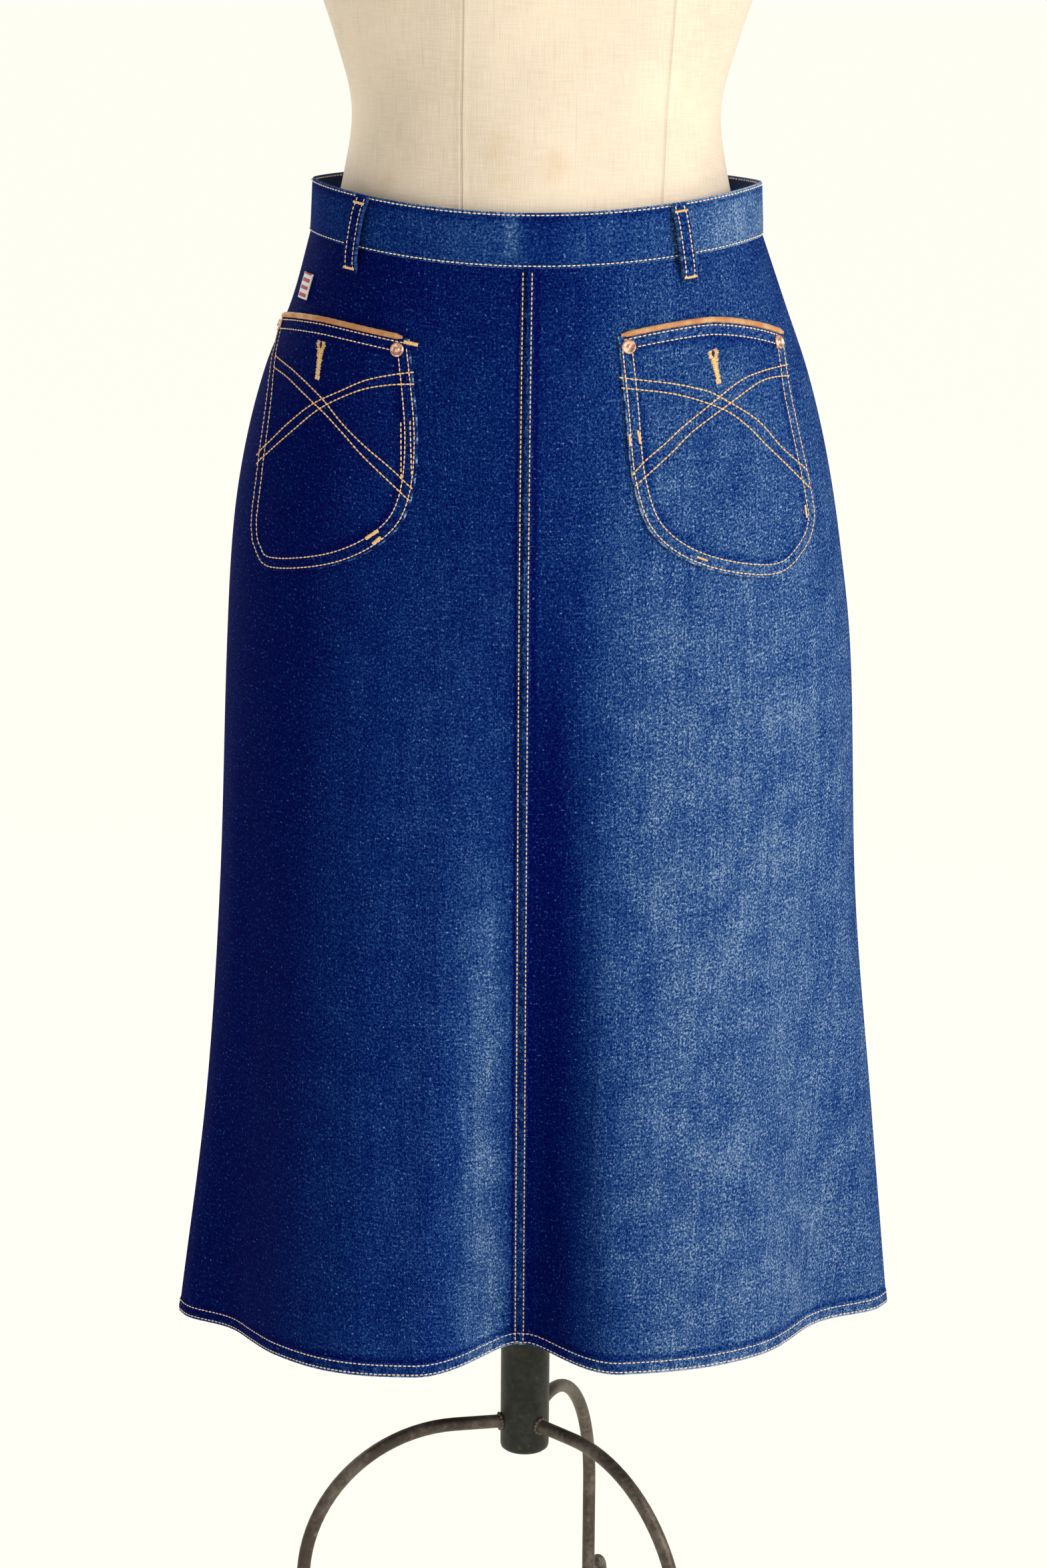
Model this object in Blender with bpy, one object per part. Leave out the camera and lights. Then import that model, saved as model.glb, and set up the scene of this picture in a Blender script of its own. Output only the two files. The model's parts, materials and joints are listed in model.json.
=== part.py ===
"""Denim skirt worn by a limbless dress form on a three-legged iron stand.

Lengths are metres and +Z is up. The stand's post stands on the modelling axis x = y = 0, its feet
stand on z = 0, and the skirt faces -Y. At the end everything is moved so that the bottom centre of
its box is the origin.

A place on the cloth has a turn, in degrees round the body from the front centre and positive
towards +X, and a drop, from 0 at the waist seam to 1 at the hem. A sewn piece is laid out flat, by
its distance across the cloth from the centre seam and down from the waist seam.
"""

import math
from collections import namedtuple

import bmesh
import bpy
from mathutils import Matrix, Vector

# ---- Skirt ----------------------------------------------------------------------------------------
WAIST_SEAM_HEIGHT = 1.045
HEM_HEIGHT = 0.300
FRONT_DIP = 0.0165          # the waist seam is lower at the front than at the sides
BACK_RISE = 0.006
HEM_SLOPE = 0.009           # the hem hangs lower on the left than on the right
HEM_NOTCH = 0.006           # the felled centre seam draws the hem up
NOTCH_TURN = 7.0
SIDE_PINCH = 0.55           # the side seams stand out like edges towards the hem
PINCH_START = 0.15
FOLD_GROWTH = 1.4
SEAM_GAP = 0.0003
DENIM = 0.0016              # one layer as a wall
PANEL_COLUMNS = 18
PANEL_ROWS = 15
ROW_CROWDING = 1.3          # rows lie closer together round the hips

Section = namedtuple("Section", "height left right front back")
SECTIONS = (
    Section(1.045, 0.1475, 0.1490, 0.0980, 0.0940),
    Section(1.000, 0.1600, 0.1650, 0.1060, 0.1060),
    Section(0.955, 0.1780, 0.1810, 0.1120, 0.1180),
    Section(0.905, 0.1915, 0.1940, 0.1160, 0.1250),
    Section(0.850, 0.2003, 0.2040, 0.1185, 0.1270),
    Section(0.770, 0.2055, 0.2140, 0.1210, 0.1260),
    Section(0.600, 0.2120, 0.2220, 0.1250, 0.1240),
    Section(0.450, 0.2230, 0.2370, 0.1320, 0.1290),
    Section(0.300, 0.2425, 0.2525, 0.1425, 0.1390),
)
WAIST_SPAN = Vector((SECTIONS[0].right, SECTIONS[0].front))

Fold = namedtuple("Fold", "name turn half_width reach start")
FOLDS = (
    Fold("front_valley", 0.0, 16.0, -0.050, 0.28),
    Fold("left_lobe", -29.0, 22.0, 0.012, 0.35),
    Fold("right_lobe", 31.0, 24.0, 0.010, 0.35),
    Fold("left_hollow", -60.0, 18.0, -0.012, 0.45),
    Fold("right_hollow", 58.0, 20.0, -0.016, 0.40),
    Fold("back_valley", 180.0, 22.0, -0.034, 0.35),
    Fold("back_left_lobe", -146.0, 26.0, 0.010, 0.35),
    Fold("back_right_lobe", 147.0, 26.0, 0.012, 0.35),
    Fold("back_left_hollow", -118.0, 18.0, -0.010, 0.35),
    Fold("back_right_hollow", 119.0, 20.0, -0.013, 0.35),
)

Panel = namedtuple("Panel", "name start end")
PANELS = (
    Panel("front_left", -90.0, 0.0),
    Panel("front_right", 0.0, 90.0),
    Panel("back_right", 90.0, 180.0),
    Panel("back_left", -180.0, -90.0),
)

# ---- Waistband, belt loops and back closure -------------------------------------------------------
BAND_HEIGHT = 0.034
BAND_WALL = 0.0024
BAND_STAND = 0.0008         # how far the band lies outside the panels
BAND_LEAN = 0.0015          # the band closes in towards its top
BAND_LAP_TURN = 10.0        # the end of the band laps over its start at the back
BAND_LAP_GAP = 0.0005
BAND_RAMP = (164.0, 177.0)  # turns between which the end rises over the start
BAND_COLUMNS = 74
LOOP_WIDTH = 0.0105
LOOP_WALL = 0.0026
LOOP_TAIL = 0.0165          # how far a loop runs down past the waist seam
LOOP_SEAT = 0.0006          # a loop's gap to the band where it is sewn down
LOOP_SLACK = 0.0030         # how far it stands off between its seats
LAP_WIDTH = 0.034
LAP_OVER = 0.004            # how far the lap runs past the back seam
LAP_START = 0.0015
LAP_END = 0.185
LAP_WALL = 0.0016
LAP_LIFT = 0.0007
LAP_TAPER = 0.45            # share of its width that the lap loses over its lowest quarter
ZIP_WIDTH = 0.026
ZIP_START = 0.003
ZIP_END = 0.180
ZIP_WALL = 0.0010
ZIP_LIFT = 0.0009
CLOSURE_ROWS = 8
BUTTON_TURN = 183.0
BUTTON_RADIUS = 0.0085
BUTTON_WALL = 0.0030
BUTTON_LIFT = 0.0005

Loop = namedtuple("Loop", "name turn lean")     # lean: how far its top is turned from its foot
LOOPS = (
    Loop("front_left", -48.5, 2.8),
    Loop("front_right", 40.2, -2.2),
    Loop("back_right", 148.0, 0.0),
    Loop("back_left", -148.0, 0.0),
)
Bend = namedtuple("Bend", "place slack")
LOOP_ON_BAND = (            # place: rise on the band; slack: share of LOOP_SLACK
    Bend(0.97, 0.0), Bend(0.86, 0.13), Bend(0.70, 0.8), Bend(0.45, 1.0), Bend(0.12, 1.0),
)
LOOP_ON_SKIRT = (           # place: share of LOOP_TAIL
    Bend(0.45, 0.7), Bend(0.80, 0.0), Bend(1.0, 0.0),
)
Turning = namedtuple("Turning", "radius along")     # shares of a stud's radius and of its wall
BUTTON_PROFILE = (
    Turning(0.55, 0.0), Turning(1.0, 0.45), Turning(1.0, 0.75), Turning(0.86, 1.0),
)

# ---- Pockets --------------------------------------------------------------------------------------
POCKET_WALL = 0.0013
POCKET_LIFT = 0.0012
TRIM_WIDTH = 0.0030
TRIM_WALL = 0.0026
TRIM_COLUMNS = 12
RIVET_RADIUS = 0.0047
RIVET_WALL = 0.0016
RIVET_SIDES = 12
RIVET_LIFT = 0.0005         # a rivet's gap to its pocket
RIVET_PROFILE = (
    Turning(0.94, 0.0), Turning(1.0, 0.4), Turning(0.80, 0.85), Turning(0.45, 1.0),
)
OUTLINE_STEPS = 2           # points along each stretch of a pocket's outline
POCKET_RINGS = 5
MOUTH_ROUNDNESS = 1.6       # 1 is a sharp peak in the mouth, 2 is an arc

Mark = namedtuple("Mark", "out down")
RIGHT_POCKET = (            # from the inner top corner, round the bottom, to the outer top corner
    Mark(0.000, 0.000), Mark(0.005, 0.045), Mark(0.011, 0.095), Mark(0.025, 0.130),
    Mark(0.059, 0.155), Mark(0.111, 0.1705), Mark(0.137, 0.161), Mark(0.1495, 0.143),
    Mark(0.146, 0.118), Mark(0.131, 0.058), Mark(0.129, 0.018),
)
LEFT_POCKET = (
    Mark(0.000, 0.000), Mark(-0.007, 0.061), Mark(-0.0025, 0.105), Mark(0.0145, 0.1315),
    Mark(0.051, 0.154), Mark(0.1035, 0.169), Mark(0.121, 0.1615), Mark(0.1275, 0.1435),
    Mark(0.123, 0.107), Mark(0.120, 0.060), Mark(0.1315, 0.0085),
)
RIGHT_RIVETS = {"inner": Mark(0.0070, 0.0088), "outer": Mark(0.1220, 0.0243)}
LEFT_RIVETS = {"inner": Mark(0.0075, 0.0095), "outer": Mark(0.1250, 0.0152)}
# A pocket is laid out from a seam: side is +1 towards greater turns, and across and down place its
# inner top corner. From there peak is how far down the middle of its mouth lies, and binding how far
# in its leather binding starts.
Pocket = namedtuple("Pocket", "name seam side across down peak binding outline rivets")
POCKETS = (
    Pocket("front_right", 0.0, 1, 0.0580, 0.0440, -0.0020, 0.0020, RIGHT_POCKET, RIGHT_RIVETS),
    Pocket("front_left", 0.0, -1, 0.0765, 0.0495, -0.0005, 0.0042, LEFT_POCKET, LEFT_RIVETS),
    Pocket("back_right", 180.0, -1, 0.0600, 0.0500, -0.0020, 0.0020, RIGHT_POCKET, RIGHT_RIVETS),
    Pocket("back_left", -180.0, 1, 0.0600, 0.0500, -0.0020, 0.0020, RIGHT_POCKET, RIGHT_RIVETS),
)

# ---- Woven tab in front of the left side seam -----------------------------------------------------
TAB_TURN = -73.0
TAB_DOWN = 0.025
TAB_HEIGHT = 0.0168
TAB_REACH = 0.0135
TAB_WALL = 0.0010
TAB_LIFT = 0.0009

# ---- Dress form -----------------------------------------------------------------------------------
FORM_SQUARENESS = 2.0
ARM_PLANE = 0.163            # flat oval ends where arms would start
FORM_COLUMNS = 36

Girth = namedtuple("Girth", "height half_width front back")
FORM = (
    Girth(0.690, 0.1380, 0.0760, 0.0840),
    Girth(0.705, 0.1560, 0.0880, 0.0960),
    Girth(0.745, 0.1790, 0.0990, 0.1080),
    Girth(0.800, 0.1925, 0.1070, 0.1160),
    Girth(0.860, 0.1950, 0.1110, 0.1205),
    Girth(0.905, 0.1893, 0.1120, 0.1205),
    Girth(0.955, 0.1750, 0.1085, 0.1135),
    Girth(1.000, 0.1540, 0.1020, 0.1010),
    Girth(1.045, 0.1360, 0.0945, 0.0880),
    Girth(1.081, 0.1262, 0.0932, 0.0850),
    Girth(1.125, 0.1207, 0.0900, 0.0840),
    Girth(1.168, 0.1310, 0.0940, 0.0850),
    Girth(1.235, 0.1530, 0.1090, 0.0910),
    Girth(1.305, 0.1660, 0.1260, 0.1000),
    Girth(1.360, 0.1720, 0.1210, 0.1060),
    Girth(1.410, 0.1730, 0.1010, 0.1050),
    Girth(1.448, 0.1620, 0.0810, 0.0960),
    Girth(1.472, 0.1300, 0.0680, 0.0850),
    Girth(1.490, 0.0920, 0.0590, 0.0740),
    Girth(1.508, 0.0640, 0.0520, 0.0640),
    Girth(1.560, 0.0560, 0.0480, 0.0570),
)

# ---- Stand ----------------------------------------------------------------------------------------
POST_RADIUS = 0.0171
POST_BOTTOM = 0.193
POST_SIDES = 24
LEG_HEIGHT = 0.215           # centre line of the bars where they are welded on
LEG_TURNS = {"leg_left": 194.5, "leg_front": -45.5, "leg_back": 74.5}
BAR_RADIUS = 0.0047
BAR_SIDES = 8
LEG_RUN = 0.050              # the bar runs level this far from the axis
ARCH_RADIUS = 0.108
ARCH_STEPS = 9
FOOT_RADIUS = (0.0180, 0.0115)   # the foot curls up on itself, closer at its end
FOOT_STEP = 22.5
FOOT_POINTS = 12
FOOT_ROUND = 5                   # the points before the curl draws in

COLOURS = {
    "denim": ((0.022, 0.050, 0.150), 0.90, 0.0),
    "band_denim": ((0.050, 0.105, 0.240), 0.90, 0.0),
    "leather": ((0.560, 0.250, 0.070), 0.60, 0.0),
    "copper": ((0.780, 0.480, 0.360), 0.35, 1.0),
    "zip_tape": ((0.030, 0.035, 0.060), 0.90, 0.0),
    "label": ((0.800, 0.760, 0.740), 0.80, 0.0),
    "linen": ((0.620, 0.520, 0.380), 0.95, 0.0),
    "iron": ((0.055, 0.045, 0.038), 0.60, 0.8),
}


def between_rows(rows, height, column):
    """Read a column of a table of rows, highest or lowest first, on one smooth curve."""
    last = len(rows) - 1
    falling = rows[0].height > rows[-1].height

    def passed(row):
        return row.height >= height if falling else row.height <= height

    index = max([k for k in range(last) if passed(rows[k])] or [0])

    def slope(k):
        low, high = rows[max(k - 1, 0)], rows[min(k + 1, last)]
        return (getattr(high, column) - getattr(low, column)) / (high.height - low.height)

    start, end = rows[index], rows[index + 1]
    span = end.height - start.height
    t = (height - start.height) / span
    return (
        (2 * t**3 - 3 * t**2 + 1) * getattr(start, column)
        + (t**3 - 2 * t**2 + t) * slope(index) * span
        + (3 * t**2 - 2 * t**3) * getattr(end, column)
        + (t**3 - t**2) * slope(index + 1) * span
    )


def signed_power(value, power):
    return math.copysign(abs(value) ** power, value)


def turn_apart(turn, other):
    return (turn - other + 180.0) % 360.0 - 180.0


def seam_height(turn):
    """Height of the waist seam at a turn."""
    facing = math.cos(math.radians(turn))
    if facing > 0:
        return WAIST_SEAM_HEIGHT - FRONT_DIP * facing**2
    return WAIST_SEAM_HEIGHT + BACK_RISE * facing**2


def hem_height(turn):
    notch = HEM_NOTCH * math.exp(-((turn_apart(turn, 0.0) / NOTCH_TURN) ** 2))
    return HEM_HEIGHT + HEM_SLOPE * math.sin(math.radians(turn)) + notch


def fold_reach(turn, drop):
    """How far the folds carry the cloth out, or in where it is negative."""
    reach = 0.0
    for fold in FOLDS:
        away = abs(turn_apart(turn, fold.turn)) / fold.half_width
        if away < 1.0 and drop > fold.start:
            growth = ((drop - fold.start) / (1.0 - fold.start)) ** FOLD_GROWTH
            reach += fold.reach * 0.5 * (1.0 + math.cos(math.pi * away)) * growth
    return reach


def ring_point(turn, height):
    """The cloth's outer face at a turn and a height."""
    sideways = math.sin(math.radians(turn))
    facing = math.cos(math.radians(turn))
    half_width = between_rows(SECTIONS, height, "right" if sideways > 0 else "left")
    depth = between_rows(SECTIONS, height, "front" if facing > 0 else "back")
    drop = (WAIST_SEAM_HEIGHT - height) / (WAIST_SEAM_HEIGHT - HEM_HEIGHT)
    pinch = 1.0 + SIDE_PINCH * max(0.0, min(1.0, (drop - PINCH_START) / (1.0 - PINCH_START)))
    reach = fold_reach(turn, drop)
    outward = Vector((sideways / half_width, -facing / depth)).normalized()
    return Vector((
        half_width * sideways + outward.x * reach,
        -depth * signed_power(facing, pinch) + outward.y * reach,
        height,
    ))


def cloth_point(turn, drop, lift=0.0):
    """A point of the skirt's outer face, moved out along its normal by lift."""

    def on_face(at_turn, at_drop):
        top = seam_height(at_turn)
        return ring_point(at_turn, top + (hem_height(at_turn) - top) * at_drop)

    point = on_face(turn, drop)
    if lift == 0.0:
        return point
    round_body = on_face(turn + 0.5, drop) - on_face(turn - 0.5, drop)
    down_body = on_face(turn, min(drop + 0.01, 1.0)) - on_face(turn, max(drop - 0.01, 0.0))
    return point + down_body.cross(round_body).normalized() * lift


def band_point(turn, rise, lift=0.0):
    """The waistband's outer face, rise from 0 at the waist seam to 1 at its top edge."""
    foot = ring_point(turn, seam_height(turn))
    outward = Vector((foot.x / WAIST_SPAN.x**2, foot.y / WAIST_SPAN.y**2, 0.0)).normalized()
    stand = BAND_STAND + lift - BAND_LEAN * rise
    lower = SEAM_GAP
    return foot + outward * stand + Vector((0.0, 0.0, lower + (BAND_HEIGHT - lower) * rise))


def cloth_length(turn):
    """Length of the cloth from the waist seam to the hem along one turn."""
    steps = 24
    points = [cloth_point(turn, k / steps) for k in range(steps + 1)]
    return sum((b - a).length for a, b in zip(points, points[1:]))


def drop_at(turn, down):
    """The drop of a place that is down from the waist seam, measured on the cloth."""
    drop, step = 0.0, 0.004
    here, left = cloth_point(turn, 0.0), down
    while left > 0.0:
        ahead = cloth_point(turn, drop + step)
        length = (ahead - here).length
        if length >= left:
            return drop + step * left / length
        left -= length
        drop += step
        here = ahead
    return drop


def turn_at(start, out, side, drop):
    """The turn that lies out from a start turn, measured across the cloth at one drop."""
    direction = side if out >= 0.0 else -side
    turn, left, step = start, abs(out), 1.0
    here = cloth_point(turn, drop)
    while left > 0.0:
        ahead = cloth_point(turn + direction * step, drop)
        length = (ahead - here).length
        if length >= left:
            return turn + direction * step * left / length
        left -= length
        turn += direction * step
        here = ahead
    return turn


def laid_on(pocket, mark, lift):
    """A mark of a pocket's flat outline on the skirt, lift above the cloth."""
    down = pocket.down + mark.down
    drop = drop_at(pocket.seam, down)
    for _ in range(2):
        turn = turn_at(pocket.seam, pocket.across + mark.out, pocket.side, drop)
        drop = drop_at(turn, down)
    return cloth_point(turn, drop, lift)


def curve_through(marks, steps):
    """Points on a smooth curve through the marks, with the given steps between two of them."""
    found = []
    for k in range(len(marks) - 1):
        before, a = marks[max(k - 1, 0)], marks[k]
        b, after = marks[k + 1], marks[min(k + 2, len(marks) - 1)]
        for step in range(steps):
            t = step / steps
            weights = (
                -0.5 * t + t**2 - 0.5 * t**3,
                1.0 - 2.5 * t**2 + 1.5 * t**3,
                0.5 * t + 2.0 * t**2 - 1.5 * t**3,
                -0.5 * t**2 + 0.5 * t**3,
            )
            found.append(Mark(
                sum(w * m.out for w, m in zip(weights, (before, a, b, after))),
                sum(w * m.down for w, m in zip(weights, (before, a, b, after))),
            ))
    return found + [marks[-1]]


def mouth_marks(pocket, steps, below=0.0, start=0.0):
    """The pocket's gently peaked top edge, from its outer corner back to start at its inner one."""
    inner, outer = pocket.outline[0], pocket.outline[-1]
    marks = []
    first = start / (outer.out - inner.out)
    for k in range(steps + 1):
        t = 1.0 - (1.0 - first) * k / steps
        chord = inner.down + (outer.down - inner.down) * t
        middle = inner.down + (outer.down - inner.down) * 0.5
        peak = (pocket.peak - middle) * (1.0 - abs(2.0 * t - 1.0) ** MOUTH_ROUNDNESS)
        marks.append(Mark(inner.out + (outer.out - inner.out) * t, chord + peak + below))
    return marks


# ---- Mesh makers ----------------------------------------------------------------------------------
def material(name):
    made = bpy.data.materials.get(name)
    if made is None:
        colour, roughness, metallic = COLOURS[name]
        made = bpy.data.materials.new(name)
        made.use_nodes = True
        shader = made.node_tree.nodes["Principled BSDF"]
        shader.inputs["Base Color"].default_value = (*colour, 1.0)
        shader.inputs["Roughness"].default_value = roughness
        shader.inputs["Metallic"].default_value = metallic
        made.diffuse_color = (*colour, 1.0)
    return made


def finish_object(name, bm, finish, smooth_angle=40.0):
    bmesh.ops.recalc_face_normals(bm, faces=bm.faces)
    mesh = bpy.data.meshes.new(name)
    bm.to_mesh(mesh)
    bm.free()
    mesh.shade_smooth()
    mesh.set_sharp_from_angle(angle=math.radians(smooth_angle))
    made = bpy.data.objects.new(name, mesh)
    made.data.materials.append(material(finish))
    bpy.context.scene.collection.objects.link(made)
    return made


def slab(name, outer, inner, finish):
    """A closed wall between two grids of points, rows by columns, that match point for point."""
    bm = bmesh.new()
    faces = [[[bm.verts.new(p) for p in row] for row in grid] for grid in (outer, inner)]
    rows, columns = len(outer), len(outer[0])
    for grid in faces:
        for i in range(rows - 1):
            for j in range(columns - 1):
                bm.faces.new((grid[i][j], grid[i][j + 1], grid[i + 1][j + 1], grid[i + 1][j]))
    front, back = faces
    for j in range(columns - 1):
        for i in (0, rows - 1):
            bm.faces.new((front[i][j], front[i][j + 1], back[i][j + 1], back[i][j]))
    for i in range(rows - 1):
        for j in (0, columns - 1):
            bm.faces.new((front[i][j], front[i + 1][j], back[i + 1][j], back[i][j]))
    return finish_object(name, bm, finish)


def loft(name, rings, finish, smooth_angle=40.0):
    """A closed solid through rings of equal count, with a flat face on each end."""
    bm = bmesh.new()
    loops = [[bm.verts.new(p) for p in ring] for ring in rings]
    count = len(rings[0])
    for low, high in zip(loops, loops[1:]):
        for k in range(count):
            bm.faces.new((low[k], low[(k + 1) % count], high[(k + 1) % count], high[k]))
    bm.faces.new(list(reversed(loops[0])))
    bm.faces.new(loops[-1])
    return finish_object(name, bm, finish, smooth_angle)


def turned(name, profile, place, sides, finish):
    """A round solid from (radius, along) pairs whose first and last rings are flat ends."""
    rings = []
    for radius, along in profile:
        ring = []
        for k in range(sides):
            angle = math.tau * k / sides
            ring.append(place @ Vector((radius * math.cos(angle), radius * math.sin(angle), along)))
        rings.append(ring)
    return loft(name, rings, finish)


def facing_frame(origin, normal):
    """A frame at a point whose Z runs along the normal."""
    rotation = normal.to_track_quat("Z", "Y").to_matrix().to_4x4()
    return Matrix.Translation(origin) @ rotation


# ---- The skirt's pieces ---------------------------------------------------------------------------
def make_panel(panel):
    def grid(lift, trim):
        rows = []
        for i in range(PANEL_ROWS + 1):
            drop = (i / PANEL_ROWS) ** ROW_CROWDING
            row = []
            for j in range(PANEL_COLUMNS + 1):
                turn = panel.start + (panel.end - panel.start) * j / PANEL_COLUMNS
                point = cloth_point(turn, drop, lift)
                if j in (0, PANEL_COLUMNS):
                    inward = cloth_point(turn + (1.0 if j == 0 else -1.0), drop)
                    point = point + (inward - cloth_point(turn, drop)).normalized() * trim
                row.append(point)
            rows.append(row)
        return rows

    half_gap = SEAM_GAP / 2
    return slab(panel.name, grid(0.0, half_gap), grid(-DENIM, half_gap), "denim")


def make_waistband():
    first = -180.0 + 0.05
    last = 180.0 + BAND_LAP_TURN
    rise_to = BAND_WALL + BAND_LAP_GAP

    def grid(lift):
        rows = []
        for rise in (0.0, 1.0):
            row = []
            for j in range(BAND_COLUMNS + 1):
                turn = first + (last - first) * j / BAND_COLUMNS
                t = max(0.0, min(1.0, (turn - BAND_RAMP[0]) / (BAND_RAMP[1] - BAND_RAMP[0])))
                over = rise_to * (3.0 * t**2 - 2.0 * t**3)
                row.append(band_point(turn, rise, lift + over))
            rows.append(row)
        return rows

    return slab("waistband", grid(0.0), grid(-BAND_WALL), "band_denim")


def loop_path(loop):
    """Centre points down the back of a belt loop, from the band's top to below the waist seam."""
    tail_drop = LOOP_TAIL / cloth_length(loop.turn)
    path = []
    for bend in LOOP_ON_BAND:
        turn = loop.turn + loop.lean * bend.place
        path.append(band_point(turn, bend.place, LOOP_SEAT + LOOP_SLACK * bend.slack))
    for bend in LOOP_ON_SKIRT:
        lift = BAND_STAND + LOOP_SEAT + LOOP_SLACK * bend.slack
        path.append(cloth_point(loop.turn, tail_drop * bend.place, lift))
    return path


def make_belt_loop(loop):
    path = loop_path(loop)
    along_body = (band_point(loop.turn + 1.0, 0.5) - band_point(loop.turn - 1.0, 0.5)).normalized()
    outer, inner = [], []
    for k, point in enumerate(path):
        run = path[min(k + 1, len(path) - 1)] - path[max(k - 1, 0)]
        outward = run.cross(along_body).normalized()
        half = along_body * LOOP_WIDTH / 2
        inner.append([point - half, point, point + half])
        outer.append([p + outward * LOOP_WALL for p in inner[-1]])
    return slab("loop_" + loop.name, outer, inner, "denim")


def make_pocket(pocket):
    below = TRIM_WIDTH + SEAM_GAP
    sides = curve_through(pocket.outline, OUTLINE_STEPS)
    sides[0] = Mark(sides[0].out, sides[0].down + below)
    sides[-1] = Mark(sides[-1].out, sides[-1].down + below)
    outline = sides + mouth_marks(pocket, TRIM_COLUMNS, below)[1:-1]
    centre = Mark(
        sum(m.out for m in outline) / len(outline), sum(m.down for m in outline) / len(outline)
    )
    bm = bmesh.new()
    layers = []
    for lift in (POCKET_LIFT, POCKET_LIFT + POCKET_WALL):
        rings = []
        for r in range(POCKET_RINGS, 0, -1):
            scale = r / POCKET_RINGS
            rings.append([
                bm.verts.new(laid_on(pocket, Mark(
                    centre.out + (m.out - centre.out) * scale,
                    centre.down + (m.down - centre.down) * scale,
                ), lift))
                for m in outline
            ])
        middle = bm.verts.new(laid_on(pocket, centre, lift))
        count = len(outline)
        for wide, narrow in zip(rings, rings[1:]):
            for k in range(count):
                bm.faces.new((wide[k], wide[(k + 1) % count], narrow[(k + 1) % count], narrow[k]))
        for k in range(count):
            bm.faces.new((rings[-1][k], rings[-1][(k + 1) % count], middle))
        layers.append(rings[0])
    low, high = layers
    for k in range(count):
        bm.faces.new((low[k], low[(k + 1) % count], high[(k + 1) % count], high[k]))
    return finish_object("pocket_" + pocket.name, bm, "denim")


def make_trim(pocket):
    """The leather binding along a pocket's mouth."""
    outer, inner = [], []
    for below in (0.0, TRIM_WIDTH):
        marks = mouth_marks(pocket, TRIM_COLUMNS, below, pocket.binding)
        inner.append([laid_on(pocket, m, POCKET_LIFT) for m in marks])
        outer.append([laid_on(pocket, m, POCKET_LIFT + TRIM_WALL) for m in marks])
    return slab("trim_" + pocket.name, outer, inner, "leather")


def stud(name, foot, above, radius, wall, profile, sides):
    """A round stud whose base is at foot and whose crown points at the place above it."""
    shape = [(radius * ring.radius, wall * ring.along) for ring in profile]
    turned(name, shape, facing_frame(foot, (above - foot).normalized()), sides, "copper")


def make_rivets(pocket):
    seat = POCKET_LIFT + POCKET_WALL + RIVET_LIFT
    for end, mark in pocket.rivets.items():
        foot = laid_on(pocket, mark, seat)
        above = laid_on(pocket, mark, seat + RIVET_WALL)
        name = f"rivet_{pocket.name}_{end}"
        stud(name, foot, above, RIVET_RADIUS, RIVET_WALL, RIVET_PROFILE, RIVET_SIDES)


def make_back_lap():
    """The fly-like lap that covers the zip at the back centre."""
    outer, inner = [], []
    columns = 4
    for i in range(CLOSURE_ROWS + 1):
        t = i / CLOSURE_ROWS
        drop = (LAP_START + (LAP_END - LAP_START) * t) / cloth_length(180.0)
        width = LAP_WIDTH * (1.0 - LAP_TAPER * max(0.0, 4.0 * t - 3.0) ** 2)
        outs = [LAP_OVER - width * j / columns for j in range(columns + 1)]
        turns = [turn_at(180.0, out, 1, drop) for out in outs]
        inner.append([cloth_point(turn, drop, LAP_LIFT) for turn in turns])
        outer.append([cloth_point(turn, drop, LAP_LIFT + LAP_WALL) for turn in turns])
    return slab("back_lap", outer, inner, "denim")


def make_zip():
    """The closed zip on its tape, inside the back seam."""
    outer, inner = [], []
    columns = 2
    top = -DENIM - ZIP_LIFT
    for i in range(CLOSURE_ROWS + 1):
        drop = (ZIP_START + (ZIP_END - ZIP_START) * i / CLOSURE_ROWS) / cloth_length(180.0)
        outs = [ZIP_WIDTH * (0.5 - j / columns) for j in range(columns + 1)]
        turns = [turn_at(180.0, out, 1, drop) for out in outs]
        outer.append([cloth_point(turn, drop, top) for turn in turns])
        inner.append([cloth_point(turn, drop, top - ZIP_WALL) for turn in turns])
    return slab("zip", outer, inner, "zip_tape")


def make_button():
    seat = BAND_WALL + BAND_LAP_GAP + BUTTON_LIFT
    foot = band_point(BUTTON_TURN, 0.5, seat)
    above = band_point(BUTTON_TURN, 0.5, seat + BUTTON_WALL)
    stud("waist_button", foot, above, BUTTON_RADIUS, BUTTON_WALL, BUTTON_PROFILE, POST_SIDES)


def make_label_tab():
    """A woven tab that lies on the cloth near the left side seam."""
    outer, inner = [], []
    rows, columns = 3, 4
    for i in range(rows + 1):
        drop = (TAB_DOWN + TAB_HEIGHT * i / rows) / cloth_length(TAB_TURN)
        turns = [turn_at(TAB_TURN, TAB_REACH * j / columns, 1, drop) for j in range(columns + 1)]
        inner.append([cloth_point(turn, drop, TAB_LIFT) for turn in turns])
        outer.append([cloth_point(turn, drop, TAB_LIFT + TAB_WALL) for turn in turns])
    return slab("label_tab", outer, inner, "label")


# ---- Dress form and stand -------------------------------------------------------------------------
def form_ring(height):
    half_width = between_rows(FORM, height, "half_width")
    ring = []
    for k in range(FORM_COLUMNS):
        angle = math.tau * k / FORM_COLUMNS
        sideways, facing = math.sin(angle), math.cos(angle)
        depth = between_rows(FORM, height, "front" if facing > 0 else "back")
        x = half_width * signed_power(sideways, 2.0 / FORM_SQUARENESS)
        x = max(-ARM_PLANE, min(ARM_PLANE, x))
        ring.append(Vector((x, -depth * signed_power(facing, 2.0 / FORM_SQUARENESS), height)))
    return ring


def make_form():
    return loft("dress_form", [form_ring(girth.height) for girth in FORM], "linen", 50.0)


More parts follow.
